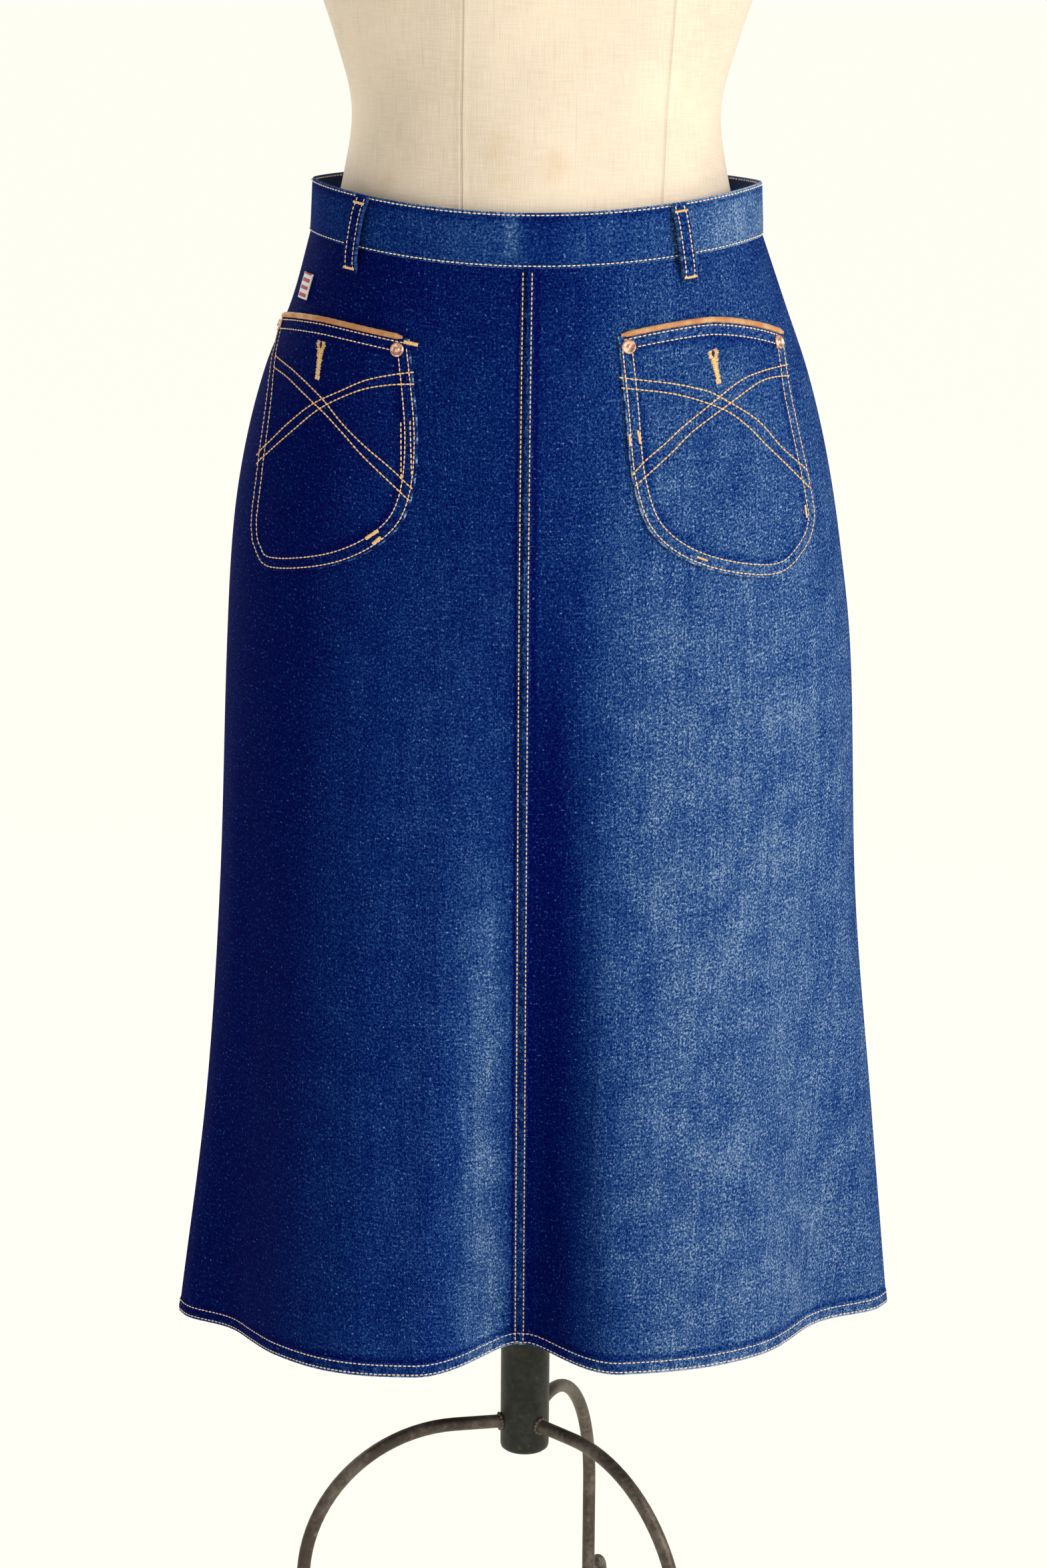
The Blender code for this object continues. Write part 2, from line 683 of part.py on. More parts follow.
def make_post():
    top = FORM[0].height - SEAM_GAP
    edge = 0.0008
    profile = (
        (POST_RADIUS - edge, POST_BOTTOM),
        (POST_RADIUS, POST_BOTTOM + edge),
        (POST_RADIUS, top - edge),
        (POST_RADIUS - edge, top),
    )
    return turned("stand_post", profile, Matrix.Identity(4), POST_SIDES, "iron")


def leg_path():
    """A leg's centre line as (out, height): level run, quarter arch, drop and curled foot."""
    path = [(POST_RADIUS + SEAM_GAP, LEG_HEIGHT), (LEG_RUN, LEG_HEIGHT)]
    for k in range(1, ARCH_STEPS + 1):
        angle = 0.5 * math.pi * k / ARCH_STEPS
        path.append((
            LEG_RUN + ARCH_RADIUS * math.sin(angle),
            LEG_HEIGHT - ARCH_RADIUS * (1.0 - math.cos(angle)),
        ))
    step = math.radians(FOOT_STEP)
    half_bar = BAR_RADIUS * math.cos(math.pi / BAR_SIDES)
    half_curl = FOOT_RADIUS[0] * math.cos(0.5 * step)
    centre = (LEG_RUN + ARCH_RADIUS + FOOT_RADIUS[0], half_bar + half_curl)
    for k in range(FOOT_POINTS):
        angle = math.pi + step * (k + 0.5)
        shrink = max(0.0, (k + 1 - FOOT_ROUND) / (FOOT_POINTS - FOOT_ROUND))
        radius = FOOT_RADIUS[0] + (FOOT_RADIUS[1] - FOOT_RADIUS[0]) * shrink
        path.append((centre[0] + radius * math.cos(angle), centre[1] + radius * math.sin(angle)))
    return path


def make_leg(name, turn):
    """Sweep an eight-sided bar along the leg's line, with a flat side underneath."""
    radial = Vector((math.cos(math.radians(turn)), math.sin(math.radians(turn)), 0.0))
    sideways = Vector((-radial.y, radial.x, 0.0))
    path = [radial * out + Vector((0.0, 0.0, height)) for out, height in leg_path()]
    rings = []
    for k, point in enumerate(path):
        before = (point - path[k - 1]).normalized() if k else None
        after = (path[k + 1] - point).normalized() if k + 1 < len(path) else None
        run = ((before or after) + (after or before)).normalized()
        widen = 1.0 / run.dot(after or before)
        across = sideways.cross(run).normalized()
        ring = []
        for side in range(BAR_SIDES):
            angle = math.tau * (side + 0.5) / BAR_SIDES
            offset = across * math.cos(angle) * widen + sideways * math.sin(angle)
            ring.append(point + offset * BAR_RADIUS)
        rings.append(ring)
    return loft(name, rings, "iron", smooth_angle=50.0)


def stand_on_origin():
    """Move everything so that the bottom centre of the whole box is the origin."""
    corners = [o.matrix_world @ v.co for o in bpy.context.scene.objects for v in o.data.vertices]
    middle = [0.5 * (min(c[k] for c in corners) + max(c[k] for c in corners)) for k in (0, 1)]
    shift = Matrix.Translation((-middle[0], -middle[1], -min(c.z for c in corners)))
    for part in bpy.context.scene.objects:
        part.data.transform(shift)


def main():
    for old in list(bpy.data.objects):
        bpy.data.objects.remove(old, do_unlink=True)
    for panel in PANELS:
        make_panel(panel)
    make_waistband()
    for loop in LOOPS:
        make_belt_loop(loop)
    make_back_lap()
    make_zip()
    make_button()
    for pocket in POCKETS:
        make_pocket(pocket)
        make_trim(pocket)
        make_rivets(pocket)
    make_label_tab()
    make_form()
    make_post()
    for name, turn in LEG_TURNS.items():
        make_leg(name, turn)
    stand_on_origin()


main()
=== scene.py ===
"""Looks of a worn denim skirt, the linen dress form that fills it and its iron stand."""

import json
import math
from collections import namedtuple

import bpy
import numpy as np
from mathutils import Matrix, Vector

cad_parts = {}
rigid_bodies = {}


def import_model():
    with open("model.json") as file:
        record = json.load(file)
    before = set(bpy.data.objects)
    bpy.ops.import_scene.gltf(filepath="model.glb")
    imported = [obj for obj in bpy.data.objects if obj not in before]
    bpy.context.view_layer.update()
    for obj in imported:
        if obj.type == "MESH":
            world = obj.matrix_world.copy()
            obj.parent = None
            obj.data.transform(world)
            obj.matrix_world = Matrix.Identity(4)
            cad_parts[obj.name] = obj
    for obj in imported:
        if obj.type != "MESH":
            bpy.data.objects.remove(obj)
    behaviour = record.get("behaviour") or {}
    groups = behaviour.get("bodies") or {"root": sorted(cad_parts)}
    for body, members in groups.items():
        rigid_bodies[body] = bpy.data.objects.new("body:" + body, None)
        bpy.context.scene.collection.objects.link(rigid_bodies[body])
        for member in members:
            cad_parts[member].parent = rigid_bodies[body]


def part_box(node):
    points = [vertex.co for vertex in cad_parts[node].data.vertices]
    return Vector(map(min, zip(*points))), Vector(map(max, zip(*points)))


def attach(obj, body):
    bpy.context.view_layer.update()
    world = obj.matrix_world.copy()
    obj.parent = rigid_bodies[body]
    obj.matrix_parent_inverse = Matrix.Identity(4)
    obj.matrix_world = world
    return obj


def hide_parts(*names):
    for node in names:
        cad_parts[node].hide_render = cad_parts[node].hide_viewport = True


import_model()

bl_info = {
    "name": "Denim skirt on a dress form",
    "version": (1, 0, 0),
    "blender": (4, 5, 0),
    "location": "View3D > Sidebar > Skirt",
    "description": "Builds the looks of a denim skirt, its dress form, its stand and a studio",
    "category": "Add Mesh",
}

# ---- The skirt's form, in metres: turn is degrees round from the front centre, drop is 0 at the
# ---- waist seam and 1 at the hem, across and down are measured on the cloth --------------------
WAIST_SEAM_HEIGHT = 1.045
HEM_HEIGHT = 0.300
SKIRT_LENGTH = 0.76          # along the cloth, near enough to start from
FRONT_DIP = 0.0165
BACK_RISE = 0.006
HEM_SLOPE = 0.009
HEM_NOTCH = 0.006
NOTCH_TURN = 7.0
SIDE_PINCH = 0.55
PINCH_START = 0.15
FOLD_GROWTH = 1.4
DENIM = 0.0016
WALE_PITCH = 0.00135         # the twill's diagonal ribs, measured across
WALE_SLOPE = 56.0

Section = namedtuple("Section", "height left right front back")
SECTIONS = (
    Section(1.045, 0.1475, 0.1490, 0.0980, 0.0940),
    Section(1.000, 0.1600, 0.1650, 0.1060, 0.1060),
    Section(0.955, 0.1780, 0.1810, 0.1120, 0.1180),
    Section(0.905, 0.1915, 0.1940, 0.1160, 0.1250),
    Section(0.850, 0.2003, 0.2040, 0.1185, 0.1270),
    Section(0.770, 0.2055, 0.2140, 0.1210, 0.1260),
    Section(0.600, 0.2120, 0.2220, 0.1250, 0.1240),
    Section(0.450, 0.2230, 0.2370, 0.1320, 0.1290),
    Section(0.300, 0.2425, 0.2525, 0.1425, 0.1390),
)

Fold = namedtuple("Fold", "turn half_width reach start")
FOLDS = (
    Fold(0.0, 16.0, -0.050, 0.28),
    Fold(-29.0, 22.0, 0.012, 0.35),
    Fold(31.0, 24.0, 0.010, 0.35),
    Fold(-60.0, 18.0, -0.012, 0.45),
    Fold(58.0, 20.0, -0.016, 0.40),
    Fold(180.0, 22.0, -0.034, 0.35),
    Fold(-146.0, 26.0, 0.010, 0.35),
    Fold(147.0, 26.0, 0.012, 0.35),
    Fold(-118.0, 18.0, -0.010, 0.35),
    Fold(119.0, 20.0, -0.013, 0.35),
)

# Soft creases from one place to another: a ridge where height is positive, a trough where it isn't.
Crease = namedtuple("Crease", "turn drop to_turn to_drop width height")
CREASES = (
    Crease(-6.0, 0.40, -9.0, 0.97, 0.011, 0.0016),
    Crease(7.0, 0.36, 9.0, 0.96, 0.013, -0.0017),
    Crease(-20.0, 0.62, -22.0, 0.99, 0.013, -0.0013),
    Crease(17.0, 0.55, 21.0, 0.98, 0.014, 0.0012),
    Crease(34.0, 0.66, 31.0, 0.92, 0.012, -0.0010),
    Crease(-45.0, 0.02, -30.0, 0.07, 0.006, 0.0007),
    Crease(36.0, 0.02, 26.0, 0.08, 0.006, 0.0008),
    Crease(-12.0, 0.03, -22.0, 0.10, 0.008, -0.0007),
    Crease(14.0, 0.04, 25.0, 0.09, 0.007, -0.0007),
    Crease(-70.0, 0.42, -66.0, 0.80, 0.013, 0.0012),
    Crease(71.0, 0.30, 66.0, 0.70, 0.014, 0.0013),
    Crease(52.0, 0.30, 68.0, 0.36, 0.009, -0.0009),
    Crease(-58.0, 0.86, -52.0, 1.00, 0.010, 0.0012),
    Crease(46.0, 0.85, 50.0, 1.00, 0.011, 0.0012),
    Crease(104.0, 0.30, 110.0, 0.80, 0.014, -0.0015),
    Crease(128.0, 0.45, 126.0, 0.97, 0.013, 0.0014),
    Crease(168.0, 0.42, 166.0, 0.96, 0.012, 0.0015),
    Crease(-169.0, 0.38, -165.0, 0.94, 0.013, -0.0016),
    Crease(-130.0, 0.50, -133.0, 0.98, 0.014, 0.0014),
    Crease(-104.0, 0.28, -109.0, 0.74, 0.013, 0.0013),
    Crease(150.0, 0.03, 160.0, 0.09, 0.007, 0.0007),
    Crease(-151.0, 0.02, -160.0, 0.08, 0.007, -0.0007),
)

Panel = namedtuple("Panel", "name start end lap")     # lap: its edge that lies over the next panel
PANELS = (
    Panel("front_left", -90.0, 0.0, None),
    Panel("front_right", 0.0, 90.0, "start"),
    Panel("back_right", 90.0, 180.0, "end"),
    Panel("back_left", -180.0, -90.0, None),
)
Dart = namedtuple("Dart", "turn length")              # length is a drop
DARTS = (Dart(42.0, 0.10), Dart(-48.0, 0.10), Dart(148.0, 0.14), Dart(-148.0, 0.14))
LAP_REACH = 0.0042           # the felled seam's fold lies this far over the other panel
FELL_RISE = 0.00125
SEAM_ROW = 0.0029            # a seam's two stitch rows lie this far either side of it
HEM_ROWS = (0.0018, 0.0080)
HEM_RISE = 0.00055
HEM_DEPTH = 0.0092

# ---- Waistband, loops and closure --------------------------------------------------------------
BAND_HEIGHT = 0.034
BAND_WALL = 0.0024
BAND_STAND = 0.0008
BAND_RADIUS = 0.125
BAND_LEAN = 0.0015
BAND_LAP_TURN = 10.0
BAND_LAP_GAP = 0.0005
BAND_RAMP = (164.0, 177.0)
BAND_TUCK = 0.035            # how far its lower edge covers the panels, as a share of its height
BAND_SEAM_GAP = 0.0003
LOOP_WIDTH = 0.0105
LOOP_WALL = 0.0025
LOOP_TAIL = 0.0165           # how far it reaches down the skirt
LOOP_SEAT = 0.0006
LOOP_SLACK = 0.0030
Loop = namedtuple("Loop", "name turn lean")
LOOPS = (
    Loop("front_left", -48.5, 2.8),
    Loop("front_right", 40.2, -2.2),
    Loop("back_right", 148.0, 0.0),
    Loop("back_left", -148.0, 0.0),
)
Bend = namedtuple("Bend", "place slack")
LOOP_ON_BAND = (
    Bend(0.985, -0.1), Bend(0.86, 0.13), Bend(0.70, 0.8), Bend(0.45, 1.0), Bend(0.12, 1.0),
)
LOOP_ON_SKIRT = (Bend(0.45, 0.7), Bend(0.80, 0.0), Bend(1.0, 0.0))
LAP_WIDTH = 0.034
LAP_OVER = 0.004
LAP_SPAN = (0.0015, 0.185)
ZIP_WIDTH = 0.026
ZIP_SPAN = (0.003, 0.180)
BUTTON_TURN = 183.0
Lathe = namedtuple("Lathe", "radius height")
BUTTON_PROFILE = (
    Lathe(0.0046, 0.0), Lathe(0.0080, 0.0010), Lathe(0.0085, 0.0016), Lathe(0.0083, 0.0023),
    Lathe(0.0074, 0.0028), Lathe(0.0066, 0.0026), Lathe(0.0058, 0.0022), Lathe(0.0040, 0.0023),
    Lathe(0.0018, 0.0025), Lathe(0.0002, 0.0026),
)
RIVET_PROFILE = (
    Lathe(0.0040, -0.0006), Lathe(0.0046, 0.0000), Lathe(0.0047, 0.0005), Lathe(0.0044, 0.0010),
    Lathe(0.0037, 0.0013), Lathe(0.0031, 0.0011), Lathe(0.0026, 0.0006), Lathe(0.0019, 0.0005),
    Lathe(0.0015, 0.0009), Lathe(0.0008, 0.0013), Lathe(0.0001, 0.0014),
)

# ---- Pockets ---------------------------------------------------------------------------------------
POCKET_LIFT = 0.0012
POCKET_WALL = 0.0013
TRIM_WIDTH = 0.0030
MOUTH_ROUNDNESS = 1.6
POCKET_ROWS = (0.0020, 0.0082)
MOUTH_ROWS = (0.0048, 0.0108)
EYE_HALF = 0.0013            # the buttonhole's round eye: half its width, its middle and its length
EYE_DOWN = 0.0022
EYE_LENGTH = 0.0021
POCKET_MIDDLE = (0.065, 0.085)
POCKET_ROUND = 0.075         # turns an angle about the middle into a length along the edge
Mark = namedtuple("Mark", "out down")
Tack = namedtuple("Tack", "out down end_out end_down width")
RIGHT_POCKET = (
    Mark(0.000, 0.000), Mark(0.005, 0.045), Mark(0.011, 0.095), Mark(0.025, 0.130),
    Mark(0.059, 0.155), Mark(0.111, 0.1705), Mark(0.137, 0.161), Mark(0.1495, 0.143),
    Mark(0.146, 0.118), Mark(0.131, 0.058), Mark(0.129, 0.018),
)
LEFT_POCKET = (
    Mark(0.000, 0.000), Mark(-0.007, 0.061), Mark(-0.0025, 0.105), Mark(0.0145, 0.1315),
    Mark(0.051, 0.154), Mark(0.1035, 0.169), Mark(0.121, 0.1615), Mark(0.1275, 0.1435),
    Mark(0.123, 0.107), Mark(0.120, 0.060), Mark(0.1315, 0.0085),
)
RIGHT_DECOR = (              # two crossing double curves
    (Mark(0.001, 0.0275), Mark(0.0355, 0.035), Mark(0.059, 0.043), Mark(0.0695, 0.049),
     Mark(0.097, 0.068), Mark(0.118, 0.090), Mark(0.1425, 0.110)),
    (Mark(0.002, 0.034), Mark(0.038, 0.042), Mark(0.070, 0.056), Mark(0.089, 0.070),
     Mark(0.108, 0.089), Mark(0.1435, 0.121)),
    (Mark(0.1295, 0.040), Mark(0.102, 0.039), Mark(0.080, 0.043), Mark(0.0465, 0.061),
     Mark(0.033, 0.071), Mark(0.018, 0.082), Mark(0.010, 0.090)),
    (Mark(0.1295, 0.047), Mark(0.107, 0.0445), Mark(0.088, 0.049), Mark(0.053, 0.065),
     Mark(0.035, 0.079), Mark(0.012, 0.097)),
)
LEFT_DECOR = (
    (Mark(0.1165, 0.0343), Mark(0.089, 0.0388), Mark(0.0635, 0.0491), Mark(0.0450, 0.0628),
     Mark(0.0290, 0.0735), Mark(0.0108, 0.0845), Mark(-0.0044, 0.0958)),
    (Mark(0.1150, 0.0415), Mark(0.093, 0.0448), Mark(0.0636, 0.0566), Mark(0.0468, 0.0670),
     Mark(0.0314, 0.0791), Mark(0.0144, 0.0912), Mark(-0.0023, 0.1033)),
    (Mark(-0.0044, 0.0219), Mark(0.0122, 0.0262), Mark(0.0300, 0.0325), Mark(0.0480, 0.0424),
     Mark(0.0696, 0.0551), Mark(0.0903, 0.0713), Mark(0.1063, 0.0855), Mark(0.1235, 0.1000)),
    (Mark(-0.0048, 0.0294), Mark(0.0117, 0.0322), Mark(0.0309, 0.0381), Mark(0.0503, 0.0482),
     Mark(0.0666, 0.0590), Mark(0.0852, 0.0745), Mark(0.1050, 0.0911), Mark(0.1228, 0.1054)),
)
RIGHT_TACKS = (
    Tack(0.0135, 0.062, 0.0150, 0.070, 0.0016), Tack(0.0078, 0.064, 0.0086, 0.071, 0.0014),
    Tack(0.054, 0.147, 0.061, 0.1505, 0.0015), Tack(0.1385, 0.131, 0.1400, 0.139, 0.0018),
    Tack(0.1190, 0.0270, 0.1285, 0.0262, 0.0020),
)
LEFT_TACKS = (
    Tack(0.0040, 0.054, 0.0034, 0.090, 0.0012), Tack(-0.0022, 0.052, -0.0036, 0.087, 0.0012),
    Tack(0.0275, 0.1320, 0.0190, 0.1255, 0.0024), Tack(0.0225, 0.1345, 0.0172, 0.1295, 0.0022),
    Tack(0.0030, 0.0040, -0.0065, 0.0046, 0.0024),
)
RIGHT_RIVETS = (Mark(0.0070, 0.0088), Mark(0.1220, 0.0243))
LEFT_RIVETS = (Mark(0.0075, 0.0095), Mark(0.1250, 0.0152))
RIGHT_HOLE = (Mark(0.064, 0.0186), Mark(0.068, 0.039))
LEFT_HOLE = (Mark(0.0665, 0.0150), Mark(0.0670, 0.038))
Pocket = namedtuple("Pocket", "name seam side across down peak binding outline rivets decor tacks hole")
POCKETS = (
    Pocket("front_right", 0.0, 1, 0.0580, 0.0440, -0.0020, 0.0020,
           RIGHT_POCKET, RIGHT_RIVETS, RIGHT_DECOR, RIGHT_TACKS, RIGHT_HOLE),
    Pocket("front_left", 0.0, -1, 0.0765, 0.0495, -0.0005, 0.0042,
           LEFT_POCKET, LEFT_RIVETS, LEFT_DECOR, LEFT_TACKS, LEFT_HOLE),
    Pocket("back_right", 180.0, -1, 0.0600, 0.0500, -0.0020, 0.0020,
           RIGHT_POCKET, RIGHT_RIVETS, RIGHT_DECOR, RIGHT_TACKS, RIGHT_HOLE),
    Pocket("back_left", -180.0, 1, 0.0600, 0.0500, -0.0020, 0.0020,
           RIGHT_POCKET, RIGHT_RIVETS, RIGHT_DECOR, RIGHT_TACKS, RIGHT_HOLE),
)

TAB_TURN = -73.0
TAB_DOWN = 0.025
TAB_HEIGHT = 0.0168
TAB_REACH = 0.0135

# ---- Dress form and stand ------------------------------------------------------------------------
ARM_PLANE = 0.163
Girth = namedtuple("Girth", "height half_width front back")
FORM = (
    Girth(0.690, 0.1380, 0.0760, 0.0840), Girth(0.705, 0.1560, 0.0880, 0.0960),
    Girth(0.745, 0.1790, 0.0990, 0.1080), Girth(0.800, 0.1925, 0.1070, 0.1160),
    Girth(0.860, 0.1950, 0.1110, 0.1205), Girth(0.905, 0.1893, 0.1120, 0.1205),
    Girth(0.955, 0.1750, 0.1085, 0.1135), Girth(1.000, 0.1540, 0.1020, 0.1010),
    Girth(1.045, 0.1360, 0.0945, 0.0880), Girth(1.081, 0.1262, 0.0932, 0.0850),
    Girth(1.125, 0.1207, 0.0900, 0.0840), Girth(1.168, 0.1310, 0.0940, 0.0850),
    Girth(1.235, 0.1530, 0.1090, 0.0910), Girth(1.305, 0.1660, 0.1260, 0.1000),
    Girth(1.360, 0.1720, 0.1210, 0.1060), Girth(1.410, 0.1730, 0.1010, 0.1050),
    Girth(1.448, 0.1620, 0.0810, 0.0960), Girth(1.472, 0.1300, 0.0680, 0.0850),
    Girth(1.490, 0.0920, 0.0590, 0.0740), Girth(1.508, 0.0640, 0.0520, 0.0640),
    Girth(1.560, 0.0560, 0.0480, 0.0570),
)
SeamLine = namedtuple("SeamLine", "height left right")   # where the linen's seams run, in x
FORM_SEAMS = (
    SeamLine(1.045, -0.0430, 0.0830), SeamLine(1.125, -0.0440, 0.0855),
    SeamLine(1.300, -0.0400, 0.0970), SeamLine(1.560, -0.0370, 0.1020),
)
POST_RADIUS = 0.0171
POST_BOTTOM = 0.193
LEG_HEIGHT = 0.215
LEG_TURNS = {"leg_left": 194.5, "leg_front": -45.5, "leg_back": 74.5}
BAR_RADIUS = 0.0047
LEG_RUN = 0.050
ARCH_RADIUS = 0.108
FOOT_RADIUS = (0.0180, 0.0115)
FOOT_STEP = 22.5
FOOT_POINTS = 12
FOOT_ROUND = 5
WELD_BEADS = 13
WELD_RADIUS = 0.0050
UP = np.array([0.0, 0.0, 1.0])

# ---- Camera and light ------------------------------------------------------------------------------
LENS = 85.0
SENSOR = 36.0
CAMERA_PITCH = 12.0
CAMERA_TURN = 2.5
CAMERA_REACH = 2.46
CAMERA_HEIGHT = 1.1957
CAMERA_ROLL = 0.5
CAMERA_SHIFT = -0.0043
LAMP_AIM = (0.0, 0.0, 0.80)
Lamp = namedtuple("Lamp", "name place size share colour")    # share is of the key light's power
LAMPS = (
    Lamp("key", (2.6, -1.9, 2.0), 1.7, 1.0, (1.0, 0.98, 0.95)),
    Lamp("fill", (-2.4, -2.2, 1.5), 1.8, 0.10, (0.84, 0.92, 1.0)),
    Lamp("rim", (-1.6, 1.9, 1.9), 1.2, 0.30, (1.0, 1.0, 1.0)),
)

low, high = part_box("stand_post")
AXIS = np.array([(low.x + high.x) / 2, (low.y + high.y) / 2, 0.0])


# ---- Surfaces, on whole arrays of places at once -------------------------------------------------
def read_column(table, name, height):
    """A column of a table of rows, read at many heights on one smooth curve."""
    rows = sorted(table)
    knots = np.array([row.height for row in rows])
    values = np.array([getattr(row, name) for row in rows])
    slopes = np.empty(len(rows))
    slopes[1:-1] = (values[2:] - values[:-2]) / (knots[2:] - knots[:-2])
    slopes[0] = (values[1] - values[0]) / (knots[1] - knots[0])
    slopes[-1] = (values[-1] - values[-2]) / (knots[-1] - knots[-2])
    k = np.clip(np.searchsorted(knots, height) - 1, 0, len(rows) - 2)
    span = knots[k + 1] - knots[k]
    t = (height - knots[k]) / span
    return (
        (2 * t**3 - 3 * t**2 + 1) * values[k] + (t**3 - 2 * t**2 + t) * slopes[k] * span
        + (3 * t**2 - 2 * t**3) * values[k + 1] + (t**3 - t**2) * slopes[k + 1] * span
    )


def smooth(x, start, end):
    """0 up to start and 1 from end, with a smooth step between."""
    t = np.clip((x - start) / (end - start), 0.0, 1.0)
    return t * t * (3.0 - 2.0 * t)


def bell(x, width, middle=0.0):
    """1 at the middle, falling away smoothly on both sides."""
    return np.exp(-(((x - middle) / width) ** 2))


def apart(turn, other):
    """Degrees from one turn to another, the short way round."""
    return (turn - other + 180.0) % 360.0 - 180.0


def unit(vectors):
    """The same directions, one long."""
    return vectors / np.maximum(np.linalg.norm(vectors, axis=-1, keepdims=True), 1e-12)


def seam_height(turn):
    """Height of the waist seam at a turn."""
    facing = np.cos(np.radians(turn))
    change = np.where(facing > 0, -FRONT_DIP, BACK_RISE)
    return WAIST_SEAM_HEIGHT + change * facing**2


def hem_height(turn):
    """Height of the hem at a turn."""
    notch = HEM_NOTCH * bell(apart(turn, 0.0), NOTCH_TURN)
    return HEM_HEIGHT + HEM_SLOPE * np.sin(np.radians(turn)) + notch


def ring(turn, height):
    """The cloth's outer face at a turn and a height."""
    turn, height = np.broadcast_arrays(np.asarray(turn, float), np.asarray(height, float))
    sideways, facing = np.sin(np.radians(turn)), np.cos(np.radians(turn))
    wide = np.where(
        sideways > 0, read_column(SECTIONS, "right", height), read_column(SECTIONS, "left", height)
    )
    deep = np.where(
        facing > 0, read_column(SECTIONS, "front", height), read_column(SECTIONS, "back", height)
    )
    drop = (WAIST_SEAM_HEIGHT - height) / (WAIST_SEAM_HEIGHT - HEM_HEIGHT)
    pinch = 1.0 + SIDE_PINCH * np.clip((drop - PINCH_START) / (1.0 - PINCH_START), 0.0, 1.0)
    reach = np.zeros_like(turn)
    for fold in FOLDS:
        away = np.minimum(np.abs(apart(turn, fold.turn)) / fold.half_width, 1.0)
        growth = np.clip((drop - fold.start) / (1.0 - fold.start), 0.0, None) ** FOLD_GROWTH
        reach += fold.reach * 0.5 * (1.0 + np.cos(math.pi * away)) * growth
    out = unit(np.stack([sideways / wide, -facing / deep], axis=-1))
    return np.stack([
        wide * sideways + out[..., 0] * reach,
        -deep * np.sign(facing) * np.abs(facing) ** pinch + out[..., 1] * reach,
        height,
    ], axis=-1) + AXIS


def face(turn, drop):
    """The cloth's outer face and its outward normals."""
    turn, drop = np.broadcast_arrays(np.asarray(turn, float), np.asarray(drop, float))

    def at(a, b):
        top = seam_height(a)
        return ring(a, top + (hem_height(a) - top) * b)

    around = at(turn + 0.5, drop) - at(turn - 0.5, drop)
    downward = at(turn, np.minimum(drop + 0.01, 1.0)) - at(turn, np.maximum(drop - 0.01, 0.0))
    return at(turn, drop), unit(np.cross(downward, around))


class Chart:
    """Distances on the cloth: across from the front centre, and down from the waist seam."""

    def __init__(self):
        self.turns = np.linspace(-200.0, 200.0, 801)
        self.drops = np.linspace(0.0, 1.0, 241)
        points, _ = face(self.turns[:, None], self.drops[None, :])
        steps = np.linalg.norm(np.diff(points, axis=0), axis=-1)
        across = np.vstack([np.zeros((1, len(self.drops))), np.cumsum(steps, axis=0)])
        self.across = across - across[len(self.turns) // 2]
        steps = np.linalg.norm(np.diff(points, axis=1), axis=-1)
        self.down = np.hstack([np.zeros((len(self.turns), 1)), np.cumsum(steps, axis=1)])

    def read(self, table, turn, drop):
        """A table at any places, with its slopes by turn and by drop."""
        step_turn = self.turns[1] - self.turns[0]
        step_drop = self.drops[1] - self.drops[0]
        a = np.clip((turn - self.turns[0]) / step_turn, 0, len(self.turns) - 1.001)
        b = np.clip(drop / step_drop, 0, len(self.drops) - 1.001)
        i, j = a.astype(int), b.astype(int)
        s, t = a - i, b - j
        p, q, r, w = table[i, j], table[i + 1, j], table[i, j + 1], table[i + 1, j + 1]
        value = p * (1 - s) * (1 - t) + q * s * (1 - t) + r * (1 - s) * t + w * s * t
        by_turn = ((q - p) * (1 - t) + (w - r) * t) / step_turn
        by_drop = ((r - p) * (1 - s) + (w - q) * s) / step_drop
        return value, by_turn, by_drop

    def flat(self, turn, drop):
        """How far across and down a place is."""
        turn, drop = np.broadcast_arrays(np.asarray(turn, float), np.asarray(drop, float))
        return self.read(self.across, turn, drop)[0], self.read(self.down, turn, drop)[0]

    def length(self, turn):
        """From the waist seam to the hem."""
        return float(self.flat(np.array(turn), np.array(1.0))[1])

    def turn_for(self, across, drop, start):
        """The turns that lie across at known drops."""
        across, drop = np.broadcast_arrays(np.asarray(across, float), np.asarray(drop, float))
        turn = np.full(across.shape, float(start))
        for _ in range(9):
            value, by_turn, _unused = self.read(self.across, turn, drop)
            turn = turn + np.clip((across - value) / by_turn, -30.0, 30.0)
        return turn

    def beside(self, seam, away, drop):
        """The turns that lie away from the line straight down from a turn."""
        return self.turn_for(self.flat(np.full_like(drop, seam), drop)[0] + away, drop, seam)

    def place(self, seam, across, down):
        """The turns and drops that lie across from a centre seam and down from the waist seam."""
        across, down = np.broadcast_arrays(np.asarray(across, float), np.asarray(down, float))
        turn = np.full(across.shape, float(seam)) + across * 400.0
        drop = down / SKIRT_LENGTH
        for _ in range(14):
            origin = self.read(self.across, np.full(turn.shape, float(seam)), drop)[0]
            value, by_turn, _unused = self.read(self.across, turn, drop)
            turn = turn + np.clip((origin + across - value) / by_turn, -20.0, 20.0)
            depth, _unused, by_drop = self.read(self.down, turn, drop)
            drop = drop + np.clip((down - depth) / by_drop, -0.2, 0.2)
        return turn, drop


CHART = Chart()


